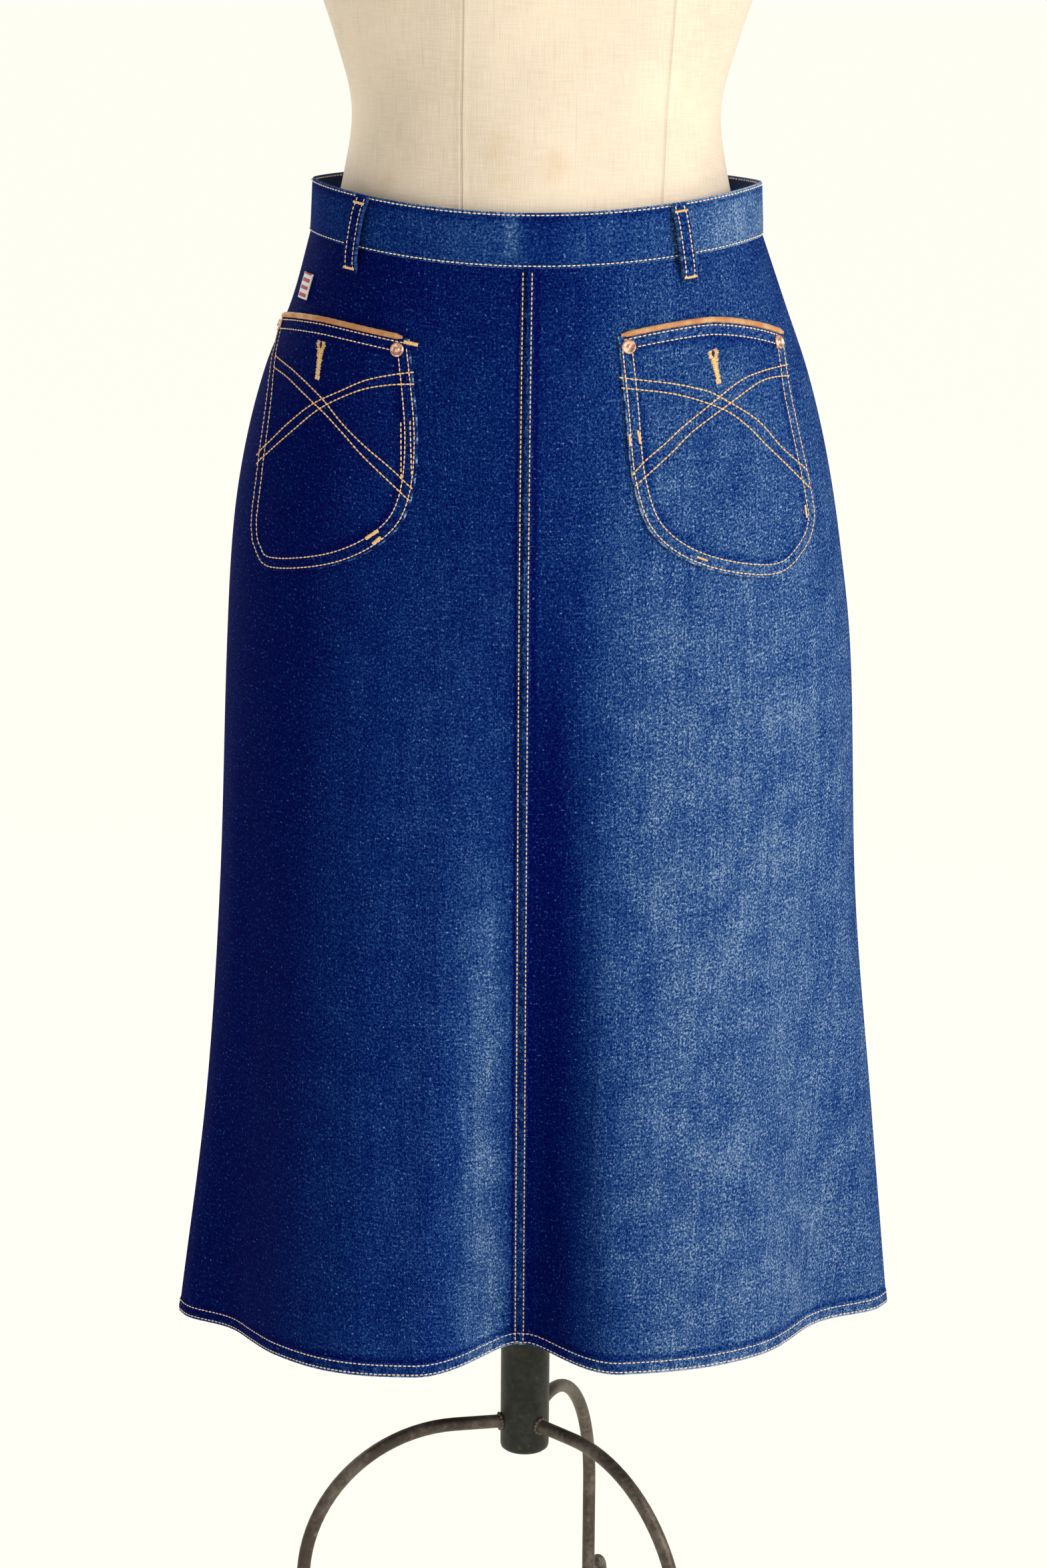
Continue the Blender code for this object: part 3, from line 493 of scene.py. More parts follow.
def drape(turn, drop):
    """How far the listed creases lift the cloth."""
    across, down = CHART.flat(turn, drop)
    lift = np.zeros_like(across)
    for crease in CREASES:
        start = np.array(CHART.flat(crease.turn, crease.drop))
        end = np.array(CHART.flat(crease.to_turn, crease.to_drop))
        run = end - start
        along = ((across - start[0]) * run[0] + (down - start[1]) * run[1]) / (run @ run)
        bow = 0.12 * crease.width * 4.0 * (along - along**2)
        aside = ((across - start[0]) * run[1] - (down - start[1]) * run[0]) / np.linalg.norm(run)
        fade = smooth(along, -0.05, 0.35) * (1.0 - smooth(along, 0.70, 1.05))
        lift += crease.height * bell(aside, crease.width, bow) * fade
    return lift


def rope(distance):
    """The uneven roping of a stitched edge, from -1 to 1."""
    cycle = math.tau * distance
    return 0.62 * np.sin(cycle / 0.0085 + 0.9 * np.sin(cycle / 0.031)) + 0.38 * np.sin(cycle / 0.0057 + 1.3)


def dips(distance, rows, depth=0.00022, width=0.0009):
    """The furrows that rows of stitches pull into cloth."""
    return -sum(depth * bell(distance, width, row) for row in rows)


def seam_relief(turn, drop):
    """How far hems, fells, darts and seams lift the panels."""
    across, down = CHART.flat(turn, drop)
    length = CHART.flat(turn, np.ones_like(turn))[1]
    above_hem = length - down
    hem = HEM_RISE * (1.0 - smooth(above_hem, HEM_DEPTH - 0.0008, HEM_DEPTH + 0.0010))
    hem += dips(above_hem, HEM_ROWS) * (above_hem < HEM_DEPTH + 0.004)
    hem += 0.00020 * rope(across + 1.4 * above_hem) * bell(above_hem, 0.0045, 0.005)
    hem -= 0.00045 * (1.0 - smooth(above_hem, 0.0, 0.0012))
    relief = hem
    for turn_of_seam, sign in ((0.0, 1.0), (180.0, -1.0)):
        centre = CHART.flat(np.full_like(turn, turn_of_seam), drop)[0]
        away = (across - centre) * sign
        near = (away > -0.006) & (np.abs(apart(turn, turn_of_seam)) < 25.0)
        fell = FELL_RISE * (1.0 - smooth(away, 0.0040, 0.0062))
        fell += dips(away, (-SEAM_ROW, SEAM_ROW)) - 0.0004 * (1.0 - smooth(away, -0.0045, -0.0036))
        fell += 0.00016 * rope(down + 1.5 * away) * bell(away, 0.005)
        over = (turn >= 0.0) | (np.abs(apart(turn, 0.0)) > 90.0) if sign > 0 else (turn > 0.0)
        relief = relief + np.where(near & over & (away > -0.0044), fell, 0.0)
    for dart in DARTS:
        centre = CHART.flat(np.full_like(turn, dart.turn), drop)[0]
        away = np.abs(across - centre)
        relief = relief - 0.0007 * bell(away, 0.0011) * (1.0 - smooth(drop, 0.6 * dart.length, dart.length))
    for side in (-90.0, 90.0):
        centre = CHART.flat(np.full_like(turn, side), drop)[0]
        away = np.abs(across - centre)
        relief = relief - 0.0006 * bell(away, 0.0009) + 0.0003 * bell(away, 0.008)
    return relief


def on_panel(turn, drop, lift):
    """A place on the finished skirt and its normal; lift is measured from the sewn cloth."""
    points, normals = face(turn, drop)
    up = drape(turn, drop) + seam_relief(turn, drop) + lift
    return points + normals * up[..., None], normals


def on_cloth(turn, drop, lift):
    """As on_panel, for a piece that bridges the seams below it."""
    points, normals = face(turn, drop)
    up = drape(turn, drop) + lift
    return points + normals * np.asarray(up)[..., None], normals


def on_band(turn, rise, lift):
    """The waistband's outer face, with the end that laps over its start."""
    turn, rise = np.broadcast_arrays(np.asarray(turn, float), np.asarray(rise, float))
    foot = ring(turn, seam_height(turn))
    out = (foot - AXIS) * [SECTIONS[0].right**-2, SECTIONS[0].front**-2, 0.0]
    out = unit(out)
    over = (BAND_WALL + BAND_LAP_GAP) * smooth(turn, *BAND_RAMP)
    stand = BAND_STAND + lift + over - BAND_LEAN * rise
    height = BAND_SEAM_GAP + (BAND_HEIGHT - BAND_SEAM_GAP) * rise
    return foot + out * stand[..., None] + np.stack([0 * height, 0 * height, height], axis=-1), out


def mouth(pocket, t, below=0.0):
    """A pocket's gently peaked top edge, t from 0 at its inner corner to 1 at its outer one."""
    inner, outer = pocket.outline[0], pocket.outline[-1]
    chord = inner.down + (outer.down - inner.down) * t
    middle = 0.5 * (inner.down + outer.down)
    peak = (pocket.peak - middle) * (1.0 - np.abs(2.0 * t - 1.0) ** MOUTH_ROUNDNESS)
    return np.stack([inner.out + (outer.out - inner.out) * t, chord + peak + below], axis=-1)


def on_pocket(pocket, flat, lift):
    """Places on a pocket's cloth, from its own flat outline."""
    across = (pocket.across + flat[..., 0]) * pocket.side
    turn, drop = CHART.place(pocket.seam, across, pocket.down + flat[..., 1])
    return on_cloth(turn, drop, lift)


def curve(marks, steps):
    """Points on a smooth curve through marks."""
    p = np.array(marks, float)
    p = np.vstack([p[:1], p, p[-1:]])
    t = np.linspace(0.0, 1.0, steps, endpoint=False)[:, None]
    found = [
        0.5 * (2 * b + (c - a) * t + (2 * a - 5 * b + 4 * c - d) * t**2 + (3 * b - a - 3 * c + d) * t**3)
        for a, b, c, d in zip(p, p[1:], p[2:], p[3:])
    ]
    return np.vstack(found + [p[-1:]])


def level(places, other):
    """Flat points at many places along one coordinate and one place along the other."""
    return np.stack([places, np.full_like(places, other)], -1)


def spread(points, count):
    """The same line with evenly spaced points."""
    steps = np.linalg.norm(np.diff(points, axis=0), axis=1)
    at = np.concatenate([[0.0], np.cumsum(steps)])
    wanted = np.linspace(0.0, at[-1], count)
    return np.stack([np.interp(wanted, at, points[:, k]) for k in range(points.shape[1])], axis=-1)


def inset(line, distance, closed):
    """A flat line moved to its left side by a distance."""
    if closed:
        ahead, behind = np.roll(line, -1, axis=0), np.roll(line, 1, axis=0)
    else:
        ahead = np.vstack([line[1:], line[-1:]])
        behind = np.vstack([line[:1], line[:-1]])
    run = unit(ahead - behind)
    return line + np.stack([run[:, 1], -run[:, 0]], axis=-1) * distance


# ---- Mesh makers -----------------------------------------------------------------------------------
def make_piece(name, points, faces, material, layers=None, angle=50.0):
    """A mesh object from points and faces, with named point layers of 3 numbers."""
    mesh = bpy.data.meshes.new(name)
    mesh.from_pydata(np.asarray(points, float).reshape(-1, 3).tolist(), [], faces)
    for layer, values in (layers or {}).items():
        made = mesh.attributes.new(layer, "FLOAT_VECTOR", "POINT")
        made.data.foreach_set("vector", np.asarray(values, np.float32).ravel())
    mesh.shade_smooth()
    mesh.set_sharp_from_angle(angle=math.radians(angle))
    mesh.materials.append(material)
    made = bpy.data.objects.new(name, mesh)
    bpy.context.scene.collection.objects.link(made)
    return made


def stand_for(made, node):
    """Puts a piece in the place of a CAD node, on the one body."""
    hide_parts(node)
    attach(made, "root")


def grid_faces(rows, columns, start=0, flip=False, wrap=False):
    """Quads over a grid of points, row by row."""
    across = columns if wrap else columns - 1
    i, j = np.meshgrid(np.arange(rows - 1), np.arange(across), indexing="ij")
    right = (j + 1) % columns
    row, below = i * columns, (i + 1) * columns
    quads = np.stack([row + j, row + right, below + right, below + j], -1).reshape(-1, 4) + start
    return (quads[:, ::-1] if flip else quads).tolist()


def capped_faces(rows, columns):
    """Quads over a tube of rings, closed at both ends."""
    last = (rows - 1) * columns
    caps = [list(range(columns))[::-1], list(range(last, last + columns))]
    return grid_faces(rows, columns, wrap=True) + caps


def shell(name, outer, inner, material, layers=None, angle=50.0):
    """A closed wall between two grids of points that match."""
    rows, columns = outer.shape[:2]
    size = rows * columns
    faces = grid_faces(rows, columns) + grid_faces(rows, columns, size, flip=True)
    index = np.arange(size).reshape(rows, columns)
    rim = np.concatenate([index[0, :], index[1:, -1], index[-1, -2::-1], index[-2:0:-1, 0]])
    for a, b in zip(rim, np.roll(rim, -1)):
        faces.append([int(b), int(a), int(a + size), int(b + size)])
    points = np.concatenate([outer.reshape(-1, 3), inner.reshape(-1, 3)])
    if layers:
        layers = {key: np.concatenate([side.reshape(-1, 3) for side in v]) for key, v in layers.items()}
    return make_piece(name, points, faces, material, layers, angle)


def cloth_layers(across, down, wear):
    """The weave's place, and its wear with painted light and shade, on both faces of a shell; the third
    number is 1 inside.
    """
    across, down, wear = np.broadcast_arrays(across, down, wear)
    out = np.stack([across, down, np.zeros_like(across)], axis=-1)
    back = np.stack([across, down, np.ones_like(across)], axis=-1)
    worn = np.stack([wear, wear, wear], axis=-1)
    return {"cloth": (out, back), "wear": (worn, worn)}


def turned(name, profile, place, sides, material, angle=40.0):
    """A round solid from (radius, along) pairs."""
    spin = np.linspace(0.0, math.tau, sides, endpoint=False)
    rings = [np.stack([r * np.cos(spin), r * np.sin(spin), np.full(sides, z)], -1) for r, z in profile]
    points = np.concatenate(rings)
    faces = capped_faces(len(profile), sides)
    turn = np.array(place.to_3x3())
    return make_piece(name, points @ turn.T + np.array(place.translation), faces, material, angle=angle)


def facing_place(point, normal):
    """A place whose Z axis runs along a normal."""
    rotation = Vector(normal).to_track_quat("Z", "Y").to_matrix().to_4x4()
    return Matrix.Translation(Vector(point)) @ rotation


def tubes(points, normals, radius, sides=5):
    """Short capped tubes, one a row of points, as (points, faces); ends are drawn in."""
    count, along = points.shape[:2]
    run = np.gradient(points, axis=1)
    aside = unit(np.cross(run, normals))
    up = unit(np.cross(aside, run))
    spin = np.linspace(0.0, math.tau, sides, endpoint=False)
    swell = np.sin(np.linspace(0.16, math.pi - 0.16, along)) ** 0.45
    size = np.asarray(radius) * swell[None, :, None, None]
    rings = points[:, :, None, :] + size * (
        aside[:, :, None, :] * np.cos(spin)[None, None, :, None]
        + up[:, :, None, :] * np.sin(spin)[None, None, :, None] * 0.8
    )
    one = np.array(grid_faces(along, sides, wrap=True))
    per = along * sides
    quads = (one[None] + (np.arange(count) * per)[:, None, None]).reshape(-1, 4).tolist()
    starts = np.arange(count) * per
    caps = [[int(s + k) for k in range(sides - 1, -1, -1)] for s in starts]
    caps += [[int(s + per - sides + k) for k in range(sides)] for s in starts]
    return rings.reshape(-1, 3), quads + caps


STITCH_POINTS = 5
STITCH_SINK = 0.00022        # how far a stitch's ends go into the cloth


class Thread:
    """Collects stitches and makes them one piece."""

    def __init__(self, seed):
        self.points, self.faces, self.tones = [], [], []
        self.size = 0
        self.chance = np.random.default_rng(seed)

    def add(self, points, normals, radius, pale, dark=0.0):
        tube_points, tube_faces = tubes(points, normals, radius)
        self.points.append(tube_points)
        self.faces += [[v + self.size for v in f] for f in tube_faces]
        tone = self.chance.uniform(0.0, 1.0, len(points))
        each = len(tube_points) // len(points)
        rows = np.stack([tone, np.full(len(points), pale), np.full(len(points), dark)], axis=-1)
        self.tones.append(np.repeat(rows, each, axis=0))
        self.size += len(tube_points)

    def sew(self, surface, line, pitch=0.0031, radius=0.00045, pale=0.0, arch=0.00046, gap=0.13):
        """A row of stitches along a line of a surface's own coordinates."""
        fine = spread(line, max(len(line), 240))
        places, _ = surface(fine[:, 0], fine[:, 1], np.zeros(len(fine)))
        steps = np.linalg.norm(np.diff(places, axis=0), axis=1)
        at = np.concatenate([[0.0], np.cumsum(steps)])
        count = max(int(at[-1] / pitch), 1)
        shares = np.linspace(gap, 1.0 - gap, STITCH_POINTS)
        wobble = self.chance.normal(0.0, 0.03, (count, 1))
        wanted = (np.arange(count)[:, None] + shares[None, :] + wobble) * at[-1] / count
        u = np.interp(wanted, at, fine[:, 0])
        v = np.interp(wanted, at, fine[:, 1])
        lift = np.broadcast_to(-STITCH_SINK + arch * np.sin(np.pi * shares)[None, :] ** 0.6, u.shape)
        points, normals = surface(u.ravel(), v.ravel(), lift.ravel())
        shape = (count, STITCH_POINTS, 3)
        thick = radius * self.chance.normal(1.0, 0.05, (count, 1, 1, 1))
        self.add(points.reshape(shape), normals.reshape(shape), thick, pale)

    def tack(self, surface, start, end, width, pale=0.0, spacing=0.00042, radius=0.00026):
        """A bartack: close threads laid across a short line."""
        start, end = np.array(start, float), np.array(end, float)
        probe, _ = surface(np.array([start[0], end[0]]), np.array([start[1], end[1]]), np.zeros(2))
        length = np.linalg.norm(probe[1] - probe[0])
        count = max(int(length / spacing), 3)
        t = np.linspace(0.0, 1.0, count)[:, None]
        centre = start + (end - start) * t
        points, normals = surface(centre[:, 0], centre[:, 1], np.full(count, 0.00010))
        along = unit(points[-1] - points[0])
        aside = unit(np.cross(normals, along)) * width / 2
        shares = np.linspace(-1.0, 1.0, 5)
        skew = self.chance.normal(0.0, 0.10, (count, 1, 1))
        lifts = normals[:, None, :] * (0.00024 * (1.0 - shares**4))[None, :, None]
        cross = points[:, None, :] + aside[:, None, :] * (shares[None, :, None] + skew) + lifts
        self.add(cross, np.repeat(normals[:, None, :], 5, axis=1), radius, pale)

    def strand(self, points, normal, radius=0.00018, pale=0.2):
        """One loose end of thread."""
        line = spread(curve(points, 12), 25)
        normals = np.broadcast_to(np.array(normal, float), line.shape)
        self.add(line[None], normals[None], radius, pale)

    def finish(self, name, material):
        made = make_piece(name, np.concatenate(self.points), self.faces, material,
                          {"tone": np.concatenate(self.tones)}, 80.0)
        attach(made, "root")
        return made


# ---- Shaders ---------------------------------------------------------------------------------------
class Value:
    """A socket, with arithmetic that adds Math nodes."""

    def __init__(self, shader, socket):
        self.shader, self.socket = shader, socket

    def _do(self, operation, *others, clamp=False):
        node = self.shader.tree.nodes.new("ShaderNodeMath")
        node.operation = operation
        node.use_clamp = clamp
        for slot, value in zip(node.inputs, (self, *others)):
            self.shader.feed(slot, value)
        return Value(self.shader, node.outputs[0])

    def __add__(self, other):
        return self._do("ADD", other)

    __radd__ = __add__

    def __sub__(self, other):
        return self._do("SUBTRACT", other)

    def __rsub__(self, other):
        return (self * -1.0) + other

    def __mul__(self, other):
        return self._do("MULTIPLY", other)

    __rmul__ = __mul__

    def __truediv__(self, other):
        return self._do("DIVIDE", other)

    def clamp(self):
        return self._do("ADD", 0.0, clamp=True)

    def sine(self):
        return self._do("SINE")

    def size(self):
        return self._do("ABSOLUTE")

    def power(self, other):
        return self._do("POWER", other)

    def step(self, start, end):
        """0 up to start and 1 from end, smooth between."""
        node = self.shader.tree.nodes.new("ShaderNodeMapRange")
        node.interpolation_type = "SMOOTHSTEP"
        for slot, value in zip(node.inputs, (self, start, end, 0.0, 1.0)):
            self.shader.feed(slot, value)
        return Value(self.shader, node.outputs[0])


class Shader:
    """A material with one Principled BSDF and a short way to add nodes."""

    def __init__(self, name, **constants):
        self.material = bpy.data.materials.new(name)
        self.material.use_nodes = True
        self.tree = self.material.node_tree
        self.surface = self.tree.nodes["Principled BSDF"]
        for key, value in constants.items():
            self.surface.inputs[key.replace("_", " ")].default_value = value

    def feed(self, slot, value):
        if isinstance(value, Value):
            self.tree.links.new(value.socket, slot)
        elif isinstance(value, tuple) and len(slot.default_value) == 4:
            slot.default_value = (*value, 1.0)[:4]
        else:
            slot.default_value = value

    def node(self, kind, output=0, settings=None, **inputs):
        made = self.tree.nodes.new(kind)
        for key, value in (settings or {}).items():
            setattr(made, key, value)
        for key, value in inputs.items():
            self.feed(made.inputs[key.replace("_", " ")], value)
        return Value(self, made.outputs[output])

    def layer(self, name):
        """The three numbers of a point layer."""
        vector = self.node("ShaderNodeAttribute", "Vector", {"attribute_name": name})
        split = self.node("ShaderNodeSeparateXYZ", 0, Vector=vector).socket.node
        return [Value(self, split.outputs[k]) for k in range(3)]

    def here(self):
        """Position in the object's own space."""
        return self.node("ShaderNodeTexCoord", "Object")

    def vector(self, x, y, z=0.0):
        return self.node("ShaderNodeCombineXYZ", X=x, Y=y, Z=z)

    def noise(self, vector, scale=1.0, detail=2.0, roughness=0.5):
        return self.node("ShaderNodeTexNoise", "Fac", Vector=vector, Scale=scale, Detail=detail,
                         Roughness=roughness)

    def mix(self, factor, a, b):
        made = self.tree.nodes.new("ShaderNodeMix")
        made.data_type = "RGBA"
        self.feed(made.inputs["Factor"], factor)
        self.feed(made.inputs[6], a)
        self.feed(made.inputs[7], b)
        return Value(self, made.outputs[2])

    def bump(self, height, strength, distance):
        normal = self.node("ShaderNodeBump", "Normal", Height=height, Strength=strength, Distance=distance)
        self.set("Normal", normal)

    def set(self, key, value):
        self.feed(self.surface.inputs[key], value)


def denim_material(name, lean, shades, fleck):
    """Indigo twill: warp streaks, diagonal wales, and white weft that shows where it has faded."""
    s = Shader(name, Roughness=0.92, Specular_IOR_Level=0.03)
    x, y, inside = s.layer("cloth")
    # This layer holds real fading together with painted light and shade.
    wear = s.layer("wear")[0]
    slope = math.radians(WALE_SLOPE)
    spacing = WALE_PITCH * math.sin(slope)
    ripple = s.noise(s.vector(x / 0.004, y / 0.004), detail=1.0) * 0.0005
    wale = ((x * math.sin(slope) + y * (math.cos(slope) * lean) + ripple) * (math.tau / spacing)).sine()
    wale = wale * 0.5 + 0.5
    fine = s.noise(s.vector(x / 0.0011, y / 0.030), detail=2.0, roughness=0.6)
    wide = s.noise(s.vector(x / 0.0050, y / 0.130), detail=2.0)
    slub = s.noise(s.vector(x / 0.024, y / 0.0012), detail=2.0, roughness=0.6)
    mottle = s.noise(s.vector(x / 0.026, y / 0.032), detail=4.0, roughness=0.6)
    grain = s.noise(s.vector(x / 0.00075, y / 0.0011), detail=1.0, roughness=0.6)
    patch = s.noise(s.vector(x / 0.0026, y / 0.0042), detail=3.0, roughness=0.65)
    speck = s.noise(s.vector(x / 0.0013, y / 0.0017, 4.0), detail=1.0, roughness=0.7)
    white = s.noise(s.vector(x / 0.0018, y / 0.0016, 9.0), detail=0.0).step(0.64, 0.80)
    broad = (wide - 0.5) * 0.40 + (mottle - 0.5) * 0.70
    close = (grain - 0.5) * 1.5 + (patch - 0.5) * 1.0 + (fine - 0.5) * 0.55 + (slub - 0.5) * 0.50
    close = close + (speck - 0.5) * 2.6
    close = close + (0.5 - wale) * 0.26
    base = (wear + broad * (wear * 0.8 + 0.18).clamp()).clamp()
    fade = base + close * (base * 0.20 + 0.50) * fleck
    fade = (fade + (white - 0.06) * (0.95 - base) * 0.55 * fleck).clamp()
    lit = s.mix((fade / 0.36).clamp(), shades[0], shades[1])
    lit = s.mix(((fade - 0.36) / 0.34).clamp(), lit, shades[2])
    lit = s.mix(((fade - 0.70) / 0.30).clamp(), lit, shades[3])
    colour = s.mix((wear - 0.95).step(0.0, 0.4) * 0.6, lit, (0.30, 0.46, 0.70))
    # Painted shade: the inner face is mixed towards dark navy, as the cloth's inside lies in shadow.
    colour = s.mix(inside * 0.65, colour, (0.035, 0.050, 0.110))
    s.set("Base Color", colour)
    s.bump(wale * 0.55 + grain * 0.45 + fine * 0.5, 0.6, 0.0004)
    return s.material


def thread_material(gold, pale):
    """Cotton thread, from gold to faded, and painted shade: near black where it fills a buttonhole's eye.
    """
    s = Shader("topstitching", Roughness=0.72, Sheen_Weight=0.15, Specular_IOR_Level=0.3)
    chance, faded, dark = s.layer("tone")
    colour = s.mix(faded, gold, pale)
    colour = s.mix((chance - 0.5).step(0.0, 0.6) * 0.30, colour, (0.86, 0.80, 0.66))
    fuzz = s.noise(s.here(), scale=2600.0, detail=2.0)
    colour = s.mix(fuzz.step(0.45, 0.75) * 0.35, colour, (0.34, 0.20, 0.08))
    # Painted shade: where the third number of the tone layer is 1, the colour is near black.
    colour = s.mix(dark, colour, (0.02, 0.015, 0.012))
    s.set("Base Color", colour)
    s.bump(fuzz, 0.5, 0.0002)
    return s.material


def leather_material(tan):
    """Tan leather with fine pores."""
    s = Shader("leather", Roughness=0.62, Specular_IOR_Level=0.35)
    here = s.here()
    soft = s.noise(here, scale=90.0, detail=3.0)
    pores = s.noise(here, scale=1400.0, detail=2.0)
    colour = s.mix(soft.step(0.35, 0.72), tan, (0.62, 0.36, 0.17))
    colour = s.mix(pores.step(0.52, 0.72) * 0.5, colour, (0.24, 0.10, 0.04))
    s.set("Base Color", colour)
    s.set("Roughness", pores * 0.25 + 0.50)
    s.bump(pores, 0.4, 0.0003)
    return s.material


def copper_material():
    """Copper with brown tarnish and fine scratches."""
    s = Shader("copper", Metallic=1.0)
    here = s.here()
    stain = s.noise(here, scale=420.0, detail=3.0)
    scratch = s.noise(here, scale=3200.0, detail=1.0)
    colour = s.mix(stain.step(0.40, 0.66), (0.86, 0.55, 0.42), (0.42, 0.22, 0.15))
    s.set("Base Color", colour)
    s.set("Roughness", scratch * 0.3 + stain * 0.25 + 0.16)
    s.bump(scratch, 0.2, 0.0001)
    return s.material


def label_material():
    """A woven tab with plain red stripes and a bare edge."""
    s = Shader("woven_label", Roughness=0.8, Sheen_Weight=0.1)
    x, y, _inside = s.layer("cloth")
    stripe = (y * (math.tau / (TAB_HEIGHT / 3.5)) + math.pi / 2).sine().step(-0.12, 0.12)
    weave = (x * (math.tau / 0.0006)).sine() * (y * (math.tau / 0.0005)).sine()
    edge = ((x - TAB_REACH / 2).size() / (TAB_REACH / 2)).step(0.80, 0.84)
    colour = s.mix(stripe * (1.0 - edge), (0.80, 0.76, 0.74), (0.42, 0.035, 0.06))
    colour = s.mix(weave.step(0.2, 0.9) * 0.25, colour, (0.45, 0.40, 0.42))
    s.set("Base Color", colour)
    s.bump(weave, 0.4, 0.0002)
    return s.material


def linen_material(base, warm):
    """Natural linen with uneven threads, warm clouds and the form's seam lines."""
    s = Shader("linen", Roughness=0.93, Sheen_Weight=0.08, Specular_IOR_Level=0.15)
    x, y, _inside = s.layer("cloth")
    left, right, _height = s.layer("seams")
    warp = s.noise(s.vector(x / 0.0007, y / 0.016), detail=2.0)
    weft = s.noise(s.vector(x / 0.018, y / 0.0007), detail=2.0)
    slub = s.noise(s.vector(x / 0.0014, y / 0.060), detail=1.0)
    cloud = s.noise(s.vector(x / 0.09, y / 0.11), detail=4.0)
    colour = s.mix(cloud.step(0.30, 0.72), base, warm)
    colour = s.mix((warp * 0.5 + weft * 0.5).step(0.36, 0.64) * 0.36, colour, (0.90, 0.80, 0.68))
    colour = s.mix(slub.step(0.64, 0.80) * 0.22, colour, (0.46, 0.34, 0.23))
    stain = s.noise(s.vector(x / 0.05, y / 0.07), detail=5.0, roughness=0.6)
    colour = s.mix(stain.step(0.54, 0.76) * 0.35, colour, (0.60, 0.42, 0.22))
    line = 1.0 - left.size().step(0.0004, 0.0013) * right.size().step(0.0004, 0.0013)
    fold = 1.0 - left.size().step(0.0, 0.006) * right.size().step(0.0, 0.006)
    colour = s.mix(line * 0.20, colour, (0.20, 0.14, 0.08))
    s.set("Base Color", colour)
    s.bump(warp * 0.5 + weft * 0.5 - line * 1.5 + fold * 1.1, 0.5, 0.0008)
    return s.material


def iron_material(name, dark, worn, amount):
    """Bare iron, scuffed where it is worn."""
    s = Shader(name, Metallic=0.55, Specular_IOR_Level=0.4)
    here = s.here()
    big = s.noise(here, scale=22.0, detail=5.0, roughness=0.65)
    small = s.noise(here, scale=240.0, detail=4.0, roughness=0.6)
    scuff = s.noise(here, scale=800.0, detail=2.0)
    colour = s.mix((big * 0.6 + small * 0.4).step(0.40, 0.66) * amount, dark, worn)
    colour = s.mix((small * 0.7 + scuff * 0.3).step(0.60, 0.72) * 0.5 * amount, colour, (0.30, 0.24, 0.19))
    s.set("Base Color", colour)
    s.set("Roughness", small * 0.35 + 0.36)
    s.bump(small * 0.7 + scuff * 0.3, 0.45, 0.0009)
    return s.material


def tape_material():
    """The zip's dark woven tape."""
    s = Shader("zip_tape", Roughness=0.85)
    here = s.here()
    weave = s.noise(here, scale=1500.0, detail=1.0)
    s.set("Base Color", s.mix(weave, (0.020, 0.024, 0.045), (0.06, 0.07, 0.11)))
    s.bump(weave, 0.4, 0.0002)
    return s.material


def floor_material(colour):
    """A floor as bright as the backdrop that still takes a faint shadow."""
    s = Shader("floor", Roughness=0.9, Specular_IOR_Level=0.0, Emission_Strength=0.95)
    s.set("Base Color", (0.14, 0.13, 0.05))
    s.set("Emission Color", colour)
    return s.material


# ---- The pieces ------------------------------------------------------------------------------------
Fade = namedtuple("Fade", "turn amount")
SKIRT_FADE_AND_LIGHT = (               # how faded the cloth is round the body, with painted light: darker on the shaded left, lighter on the lit right
    Fade(-200, 0.44), Fade(-180, 0.44), Fade(-135, 0.36), Fade(-104, 0.10), Fade(-90, 0.0),
    Fade(-60, -0.04), Fade(-46, 0.04), Fade(-36, 0.21), Fade(-20, 0.31), Fade(0, 0.34),
    Fade(12, 0.42), Fade(24, 0.62), Fade(55, 0.64), Fade(90, 0.54), Fade(135, 0.46), Fade(200, 0.44),
)
# The waistband's fade, with painted light: darker on the shaded left, lighter on the lit right
BAND_FADE_AND_LIGHT = (
    Fade(-180, 0.45), Fade(-70, 0.22), Fade(-45, 0.30), Fade(-15, 0.40), Fade(10, 0.40), Fade(35, 0.50),
    Fade(55, 0.72), Fade(90, 0.66), Fade(190, 0.46),
)


def fade_and_light_at(table, turn):
    """The amount of fade and painted light that a table gives at a turn."""
    return np.interp(turn, [f.turn for f in table], [f.amount for f in table])


def body_wear_and_light(turn, drop):
    """How faded the cloth is, with painted light: a painted highlight on the ridge and painted shade in the
    fold beside the centre seam, and painted shade over the upper skirt.
    """
    low = smooth(drop, 0.42, 0.70)
    # Painted highlight: the lit wall of the valley left of the centre seam
    ridge_highlight = 0.30 * bell(apart(turn, -7.5 + 1.5 * drop), 4.5) * low
    # Painted shade: the wall of the valley right of the centre seam
    fold = -0.38 * bell(apart(turn, 5.0), 5.0) * smooth(drop, 0.18, 0.50)
    behind = 0.20 * bell(apart(turn, 173.0), 6.0) * low
    shaded = -0.08 * (1.0 - smooth(drop, 0.0, 0.10)) - 0.13 * (1.0 - smooth(drop, 0.06, 0.45))
    return np.clip(fade_and_light_at(SKIRT_FADE_AND_LIGHT, turn) + ridge_highlight + fold + behind + shaded, 0.0, 1.0)


# Steps in from an edge, close together where its folds and stitch furrows are.
FINE = np.array([0.0, 0.3, 0.8, 1.4, 2.0, 2.6, 3.1, 3.6, 4.2, 5.0, 6.2, 8.0]) * 1e-3
HEM_STEPS = np.array([0.0, 0.35, 0.8, 1.3, 1.8, 2.4, 3.4, 4.8, 6.2, 7.2, 8.0, 8.7, 9.4, 10.6]) * 1e-3
HEM_SHARE = 0.0145           # the share of the skirt's length that those steps take up
PANEL_ROWS = 176
PANEL_COLUMNS = 70


